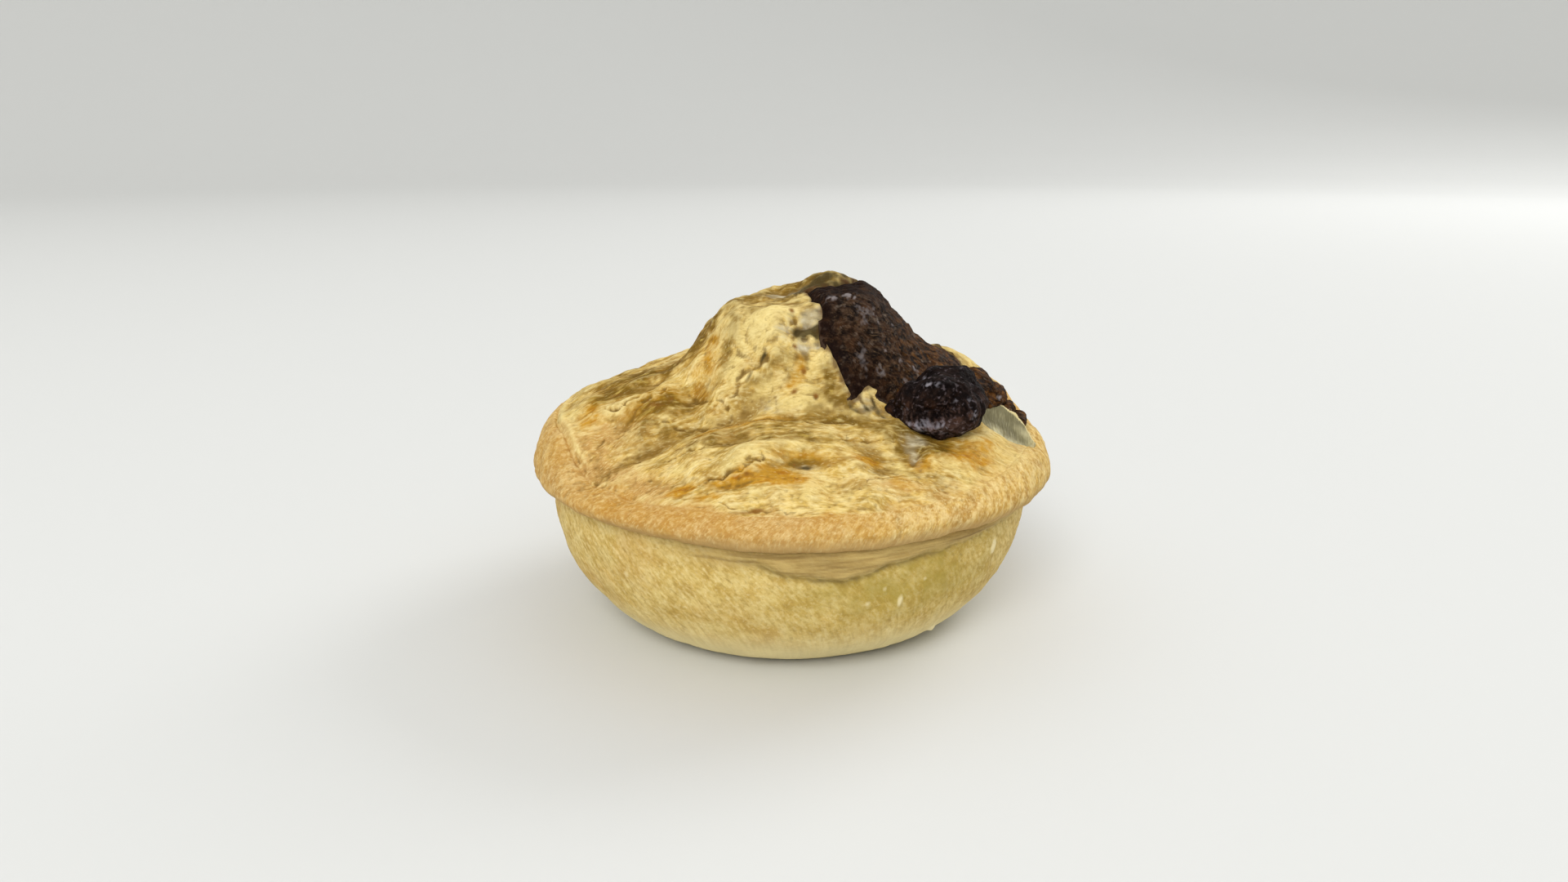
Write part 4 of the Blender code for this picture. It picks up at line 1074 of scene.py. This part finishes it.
def curve_through(corners, share):
    """Points on the smooth curve through evenly spaced named points, at shares of its length."""
    corners = np.array(corners)
    corners = np.vstack([2.0 * corners[0] - corners[1], corners, 2.0 * corners[-1] - corners[-2]])
    stretch = share * (len(corners) - 3)
    first = np.clip(np.floor(stretch).astype(int), 0, len(corners) - 4)
    return curve_between(*(corners[first + step] for step in range(4)), (stretch - first)[:, None])


def make_flap():
    """The torn inner layer: a thin sheet that stands up behind the gully, with a thin cream rim."""
    bpy.ops.mesh.primitive_grid_add(x_subdivisions=FLAP_CELLS[0], y_subdivisions=FLAP_CELLS[1], size=1.0)
    flap = bpy.context.object
    flap.name = flap.data.name = "torn_layer"
    # Places on the grid, as shares from -0.5 to 0.5.
    points = points_of(flap) * MM
    along, up = points[:, 0] + 0.5, 1.6 * (points[:, 1] + 0.5)
    foot, rim, back = (curve_through(corners, along) for corners in (FLAP_FOOT, FLAP_RIM, FLAP_BACK))
    front, behind = np.clip(up, 0.0, 1.0)[:, None], np.clip((up - 1.0) / 0.6, 0.0, 1.0)[:, None]
    points = foot + front * (rim - foot) + behind * (back - rim)
    points[:, 2] -= FLAP_SAG * np.sin(math.pi * front[:, 0]) + 0.5 * (1.0 - smooth(0.0, 0.12, up))
    spots = points.copy()
    fibres = np.column_stack([30.0 * along + 0.6 * noise_at(spots, 1.8, 97), 1.6 * up, 0.0 * up])
    points[:, 2] += noises(spots, (0.16, 2.2, 91), (0.05, 0.7, 92))
    points[:, 2] += 0.35 * noise_at(spots, 1.3, 94) * bell(up, 1.0, 0.2)
    points[:, 2] += noises(fibres, (0.10, 0.7, 98), (0.05, 0.35, 99))
    move_points(flap, points)
    crest = up + 0.03 * noise_at(spots, 1.2, 93)
    deep = smooth(0.2, 0.6, up) * (1.0 - smooth(0.6, 1.0, along)) + 0.3 * noise_at(spots, 1, 95)
    crusty = 1.0 - smooth(0.02, 0.16, up + 0.06 * noise_at(spots, 1, 96))
    crusty = np.maximum(crusty, smooth(1.1, 1.3, up))
    rim = smooth(0.94, 0.99, crest) * (1.0 - smooth(1.02, 1.08, crest))
    store(flap, grain=fibres, rim=rim, deep=deep * (up < 1.0), crusty=crusty)
    apply_modifier(flap, "SOLIDIFY", thickness=FLAP_THICKNESS * MM, offset=-1.0)
    finish_piece(flap, damp_pastry(), None)


# --- Materials ---


def linear(hex_colour):
    """An sRGB hex colour as linear red, green, blue and full alpha."""
    parts = [int(hex_colour[start : start + 2], 16) / 255.0 for start in (1, 3, 5)]
    bright = [part / 12.92 if part <= 0.04045 else ((part + 0.055) / 1.055) ** 2.4 for part in parts]
    return (*bright, 1.0)


def add(tree, kind, settings=None, links=None):
    """Adds a node, sets its properties and inputs by name or number, and links its inputs."""
    node = tree.nodes.new(kind)
    for name, value in (settings or {}).items():
        if isinstance(name, str) and hasattr(node, name):
            setattr(node, name, value)
        else:
            node.inputs[name].default_value = value
    for name, source in (links or {}).items():
        tree.links.new(source, node.inputs[name])
    return node


def new_material(name, roughness, specular):
    """An empty material with one shader, and its tree and shader."""
    material = bpy.data.materials.new(name)
    material.use_nodes = True
    shader = material.node_tree.nodes["Principled BSDF"]
    shader.inputs["Roughness"].default_value = roughness
    shader.inputs["Specular IOR Level"].default_value = specular
    return material, material.node_tree, shader


def coated(name, roughness, specular, base, patterns, coats, tooth):
    """A material of thin coats of colour over a base, with a fine tooth.

    Each pattern is even noise: what it is measured along, its size and its detail.
    Each coat has its colour, the pattern or kept share that it follows, from and to which value it
    rises, and how much of it there is: a number, or a pattern or kept share.
    The tooth is a finer noise that stands out: what it is measured along, its size and its depth.
    """
    material, tree, shader = new_material(name, roughness, specular)
    sources = {"place": add(tree, "ShaderNodeTexCoord").outputs["Object"]}
    for pattern, (way, size, detail) in patterns.items():
        if way not in sources:
            sources[way] = add(tree, "ShaderNodeAttribute", {"attribute_name": way}).outputs["Vector"]
        settings = {"Scale": 1.0 / (size * MM), "Detail": detail}
        even = add(tree, "ShaderNodeTexNoise", settings, {"Vector": sources[way]})
        sources[pattern] = even.outputs["Fac"]
    colour = add(tree, "ShaderNodeRGB").outputs[0]
    colour.default_value = linear(base)
    for over, follows, low, high, most in coats:
        for kept in (follows, most):
            if isinstance(kept, str) and kept not in sources:
                sources[kept] = add(tree, "ShaderNodeAttribute", {"attribute_name": kept}).outputs["Fac"]
        limits = {"From Min": low, "From Max": high}
        share = add(tree, "ShaderNodeMapRange", limits, {"Value": sources[follows]})
        if isinstance(most, str):
            tree.links.new(sources[most], share.inputs["To Max"])
        else:
            share.inputs["To Max"].default_value = most
        links = {0: share.outputs["Result"], 6: colour}
        colour = add(tree, "ShaderNodeMix", {"data_type": "RGBA", 7: linear(over)}, links).outputs[2]
    tree.links.new(colour, shader.inputs["Base Color"])
    way, size, depth = tooth
    settings = {"Scale": 1.0 / (size * MM), "Detail": 3.0}
    teeth = add(tree, "ShaderNodeTexNoise", settings, {"Vector": sources[way]})
    bump = add(tree, "ShaderNodeBump", {"Distance": depth * MM}, {"Height": teeth.outputs["Fac"]})
    tree.links.new(bump.outputs["Normal"], shader.inputs["Normal"])
    return material


def baked_crust():
    """Flaky pastry baked golden: dry and matt, cream where it swelled, browned where it caught."""
    patterns = {
        "threads": ("grain", 0.2, 3.0),
        "streaks": ("grain", 0.6, 4.0),
        "smudges": ("grain", 1.5, 4.0),
        "patches": ("place", 2.4, 5.0),
        "clouds": ("place", 6.0, 3.0),
        "grits": ("place", 0.5, 4.0),
        "specks": ("place", 1.15, 2.0),
    }
    coats = (
        ("#A47E34", "clouds", 0.52, 0.36, 0.8),
        ("#CFAE5C", "patches", 0.42, 0.6, 0.9),
        ("#A27A30", "patches", 0.46, 0.32, 0.8),
        ("#DDC888", "smudges", 0.5, 0.66, 0.7),
        ("#8C7030", "smudges", 0.48, 0.34, 0.7),
        ("#E2D098", "streaks", 0.48, 0.66, 0.6),
        ("#8E6C2C", "streaks", 0.48, 0.34, 0.6),
        ("#DAC480", "cream", 0.05, 0.85, "smudges"),
        ("#D4BC76", "cream", 0.25, 1, 0.7),
        ("#BC9254", "tan", 0, 0.8, 0.85),
        ("#AA8246", "tan", 0.5, 1, "smudges"),
        # Painted shade in the broad hollows and painted highlight on the broad rises.
        ("#8E6A26", "hollow_broad", 0.52, 0.8, 0.75),
        ("#D8C484", "hollow_broad", 0.44, 0.2, 0.45),
        ("#E8D8A0", "threads", 0.53, 0.72, 0.36),
        ("#7C5E28", "threads", 0.47, 0.28, 0.4),
        ("#B6841C", "browned", 0.05, 0.55, 0.92),
        ("#9A6210", "streaks", 0.53, 0.36, "browned"),
        ("#7A5A12", "shade", 0.05, 0.75, 0.92),
        ("#503C0C", "shade", 0.2, 1, "smudges"),
        ("#B89C4C", "streaks", 0.54, 0.7, "shade"),
        ("#DCC088", "grits", 0.48, 0.68, "band"),
        ("#AE8248", "grits", 0.5, 0.32, "band"),
        ("#BC9A62", "fold", 0, 1, 0.75),
        # Painted shade in the wide creases.
        ("#6E5220", "hollow_wide", 0.54, 1, 0.85),
        ("#E4D298", "threads", 0.58, 0.74, 0.2),
        # Painted shade in the fine creases and painted highlight on the fine ridges.
        ("#664C1C", "hollow_fine", 0.6, 1, 0.55),
        ("#E8D798", "hollow_fine", 0.4, 0.05, 0.3),
        ("#A29474", "damp", 0.1, 0.8, 0.85),
        ("#CCC2A6", "streaks", 0.5, 0.64, "damp"),
        ("#6C6248", "streaks", 0.46, 0.34, "damp"),
        # Painted shade in the cracks and holes and under the hood.
        ("#403418", "dark", 0.15, 0.7, 0.92),
        ("#7A4E18", "caught", 0.2, 0.8, 0.9),
        ("#80501C", "specks", 0.68, 0.74, "browned"),
        ("#4A2C14", "stain", 0.35, 1, 0.8),
    )
    tooth = ("grain", 0.28, 0.10)
    return coated("flaky_pastry_baked_golden", 0.75, 0.1, "#C19D50", patterns, coats, tooth)


def shortcrust():
    """Pale shortcrust baked against the tin: matt olive gold, with a fine grain slanting down the wall."""
    patterns = {
        "fibres": ("grain", 0.55, 3.0),
        "patches": ("place", 2.0, 4.0),
        "grits": ("place", 0.4, 2.0),
        "layers": ("level", 0.55, 4.0),
    }
    coats = (
        ("#D8BF7A", "patches", 0.46, 0.62, 0.8),
        ("#B8974C", "patches", 0.44, 0.34, 0.75),
        ("#E4D094", "fibres", 0.5, 0.68, 0.6),
        ("#A88A46", "fibres", 0.48, 0.32, 0.6),
        ("#EAD8A0", "grits", 0.55, 0.7, 0.4),
        ("#A28440", "grits", 0.45, 0.3, 0.4),
        ("#BE9250", "warm", 0.05, 0.7, 0.6),
        # Olive tone, with painted shade below the lip at the front right.
        ("#A08A34", "olive", 0.05, 1, 0.8),
        # Painted light: paler towards the bottom of the wall, offsetting the shade there.
        ("#EEDFAA", "foot", 0, 1, 0.85),
        ("#A28750", "lip", 0, 1, 0.85),
        ("#C0A566", "layers", 0.5, 0.64, "lip"),
        ("#8C7240", "layers", 0.48, 0.34, "lip"),
        ("#EADBAA", "nubs", 0.3, 0.9, 0.85),
        # Painted shade in the wide and fine creases.
        ("#7E6830", "hollow_wide", 0.56, 0.95, 0.75),
        ("#857040", "hollow_fine", 0.66, 1, 0.4),
    )
    tooth = ("grain", 0.26, 0.08)
    return coated("shortcrust_pastry_tin_side", 0.72, 0.2, "#CBAD62", patterns, coats, tooth)


def damp_pastry():
    """Inner pastry steamed from below: smooth and a little waxy, pale grey green with a cream rim."""
    patterns = {"veil": ("place", 1.6, 4.0), "fibres": ("grain", 0.35, 3.0)}
    coats = (
        ("#BAB28A", "veil", 0.4, 0.62, 0.85),
        ("#6E6644", "veil", 0.46, 0.3, 0.6),
        ("#5A5438", "deep", 0.1, 0.9, 0.85),
        ("#BEB68E", "fibres", 0.52, 0.72, 0.45),
        ("#66603E", "fibres", 0.47, 0.28, 0.4),
        ("#C8AE6C", "crusty", 0, 1, 0.9),
        ("#D6C690", "rim", 0.2, 0.9, 0.9),
    )
    tooth = ("place", 0.5, 0.06)
    return coated("steamed_inner_pastry", 0.55, 0.3, "#8E8660", patterns, coats, tooth)


def cooked_mince():
    """Stewed minced beef: dark brown and mottled, rusty where it dried, with dull grey flecks, partly fat
    and partly painted highlight, and painted shade below the hood and at the torn edge.
    """
    patterns = {
        "hairs": ("grain", 0.22, 3.0),
        "strands": ("grain", 0.6, 4.0),
        "blots": ("place", 3.0, 3.0),
        "clots": ("place", 1.1, 5.0),
        "motes": ("place", 0.8, 4.0),
    }
    coats = (
        ("#301E0E", "blots", 0.45, 0.62, 0.8),
        ("#342012", "clots", 0.44, 0.58, 0.85),
        ("#5A3610", "strands", 0.46, 0.62, "rusty"),
        ("#70502E", "strands", 0.56, 0.76, "rusty"),
        ("#452C18", "clots", 0.55, 0.68, 0.6),
        ("#3E3026", "strands", 0.42, 0.62, "grey"),
        ("#0F0807", "clots", 0.48, 0.38, 0.85),
        ("#6C563E", "hairs", 0.54, 0.74, 0.45),
        ("#0E0706", "hairs", 0.47, 0.3, 0.6),
        ("#7A6C60", "motes", 0.6, 0.74, 0.5),
        # Painted shade below the hood and along the torn edge.
        ("#160A07", "charred", 0.1, 0.8, 0.88),
        # Painted shade in the wide and fine creases and painted highlight on the fine ridges.
        ("#0D0604", "hollow_wide", 0.55, 0.95, 0.85),
        ("#0D0604", "hollow_fine", 0.6, 1, 0.8),
        ("#5C4A3C", "hollow_fine", 0.36, 0.02, 0.35),
        # Pale flecks: partly fat, partly painted highlight.
        ("#8A8282", "fleck", 0.25, 1, 0.7),
    )
    tooth = ("place", 0.3, 0.12)
    return coated("stewed_minced_beef", 0.6, 0.03, "#1C120B", patterns, coats, tooth)


def browned_mince():
    """Minced beef dried by the oven: nearly black and darker towards the top, in fine rings, with a bloom
    of fat here and there and pale flecks, partly fat and partly painted highlight.
    """
    patterns = {
        "rings": ("grain", 0.4, 3.0),
        "clots": ("place", 1.4, 5.0),
        "motes": ("place", 0.5, 3.0),
    }
    coats = (
        ("#40302A", "rings", 0.5, 0.66, 0.85),
        ("#0A0504", "rings", 0.46, 0.34, 0.85),
        ("#40281A", "clots", 0.54, 0.7, 0.6),
        ("#090505", "clots", 0.46, 0.34, 0.8),
        # Darker towards the top of the lump.
        ("#0C0707", "charred", 0, 1, 0.75),
        ("#3C2C26", "clots", 0.44, 0.6, "lobe"),
        ("#6A5C5C", "motes", 0.5, 0.66, "lobe"),
        ("#0C0706", "rings", 0.45, 0.32, "lobe"),
        # Painted shade in the wide and fine creases and painted highlight on the fine ridges.
        ("#090505", "hollow_wide", 0.55, 0.95, 0.9),
        ("#62585C", "motes", 0.58, 0.72, 0.55),
        ("#090505", "hollow_fine", 0.6, 1, 0.8),
        ("#5A5050", "hollow_fine", 0.34, 0.02, 0.35),
        # Pale flecks: partly fat, partly painted highlight.
        ("#8E8A92", "fleck", 0.2, 0.95, 0.8),
    )
    tooth = ("place", 0.3, 0.12)
    return coated("oven_dried_minced_beef", 0.6, 0.03, "#1A110E", patterns, coats, tooth)


# --- Stage ---

FLOOR_FLAT = 1200.0
FLOOR_CURVE = 1200.0
FLOOR_RISE = 1500.0

# Lamps: name, place, width and power in watts.
LAMPS = (
    ("front_lamp", (-300.0, -1150.0, 950.0), 700.0, 14.0),
    ("back_lamp", (900.0, 750.0, 750.0), 700.0, 7.0),
)
LAMP_TARGET = (0.0, 0.0, 20.0)

# The photograph's view: lens for a 36 mm sensor, distance and tilt (radians) of the camera.
LENS_MM = 24.44
CAMERA_TILT = 0.281
CAMERA_DISTANCE = 137.0
CAMERA_TARGET = (-0.67, 0.0, 20.6)


def make_floor():
    """A plain pale floor that curves up far away, so that no horizon shows."""
    profile = [(0.0, 0.0), (FLOOR_FLAT, 0.0)]
    for turn in np.radians(np.linspace(0.0, 90.0, 16))[1:]:
        profile.append((FLOOR_FLAT + FLOOR_CURVE * math.sin(turn), FLOOR_RISE * (1.0 - math.cos(turn))))
    floor = turned("pale_floor", profile, 64, closed=False)
    # Paint this matt mirrors nothing, so only the pie's soft shadow shows on it.
    material, _, shader = new_material("matt_pale_paint", 0.9, 0.2)
    shader.inputs["Base Color"].default_value = linear("#CECFCE")
    floor.data.materials.append(material)
    choose(floor)
    bpy.ops.object.shade_smooth()


def aim(name, data, spot, target):
    """Puts a lamp or a camera at a spot, looking at a target."""
    holder = bpy.data.objects.new(name, data)
    holder.location = Vector(spot) * MM
    holder.rotation_euler = (Vector(target) - Vector(spot)).to_track_quat("-Z", "Y").to_euler()
    bpy.context.scene.collection.objects.link(holder)
    return holder


def make_lights():
    """Soft studio light: an even sky, a wide lamp from the upper front and a weaker one behind."""
    world = bpy.data.worlds.new("soft_sky")
    world.use_nodes = True
    world.node_tree.nodes["Background"].inputs["Color"].default_value = linear("#F8F7F3")
    world.node_tree.nodes["Background"].inputs["Strength"].default_value = 1.0
    bpy.context.scene.world = world
    for name, spot, width, power in LAMPS:
        lamp = bpy.data.lights.new(name, "AREA")
        lamp.size = width * MM
        lamp.energy = power
        aim(name, lamp, spot, LAMP_TARGET)


def make_camera():
    """The camera at the photograph's viewing angle."""
    camera = bpy.data.cameras.new("front_camera")
    camera.sensor_width = 36.0
    camera.lens = LENS_MM
    camera.clip_start = 5.0 * MM
    camera.clip_end = 20000.0 * MM
    back = Vector((0.0, -math.cos(CAMERA_TILT), math.sin(CAMERA_TILT)))
    spot = Vector(CAMERA_TARGET) + back * CAMERA_DISTANCE
    bpy.context.scene.camera = aim("front_camera", camera, spot, CAMERA_TARGET)


def main():
    """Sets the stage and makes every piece."""
    make_camera()
    make_lights()
    make_floor()
    make_case()
    make_crown()
    make_rim()
    make_mince()
    make_lump()
    make_spill()
    make_flap()
    bpy.context.scene.view_settings.view_transform = "Standard"


main()
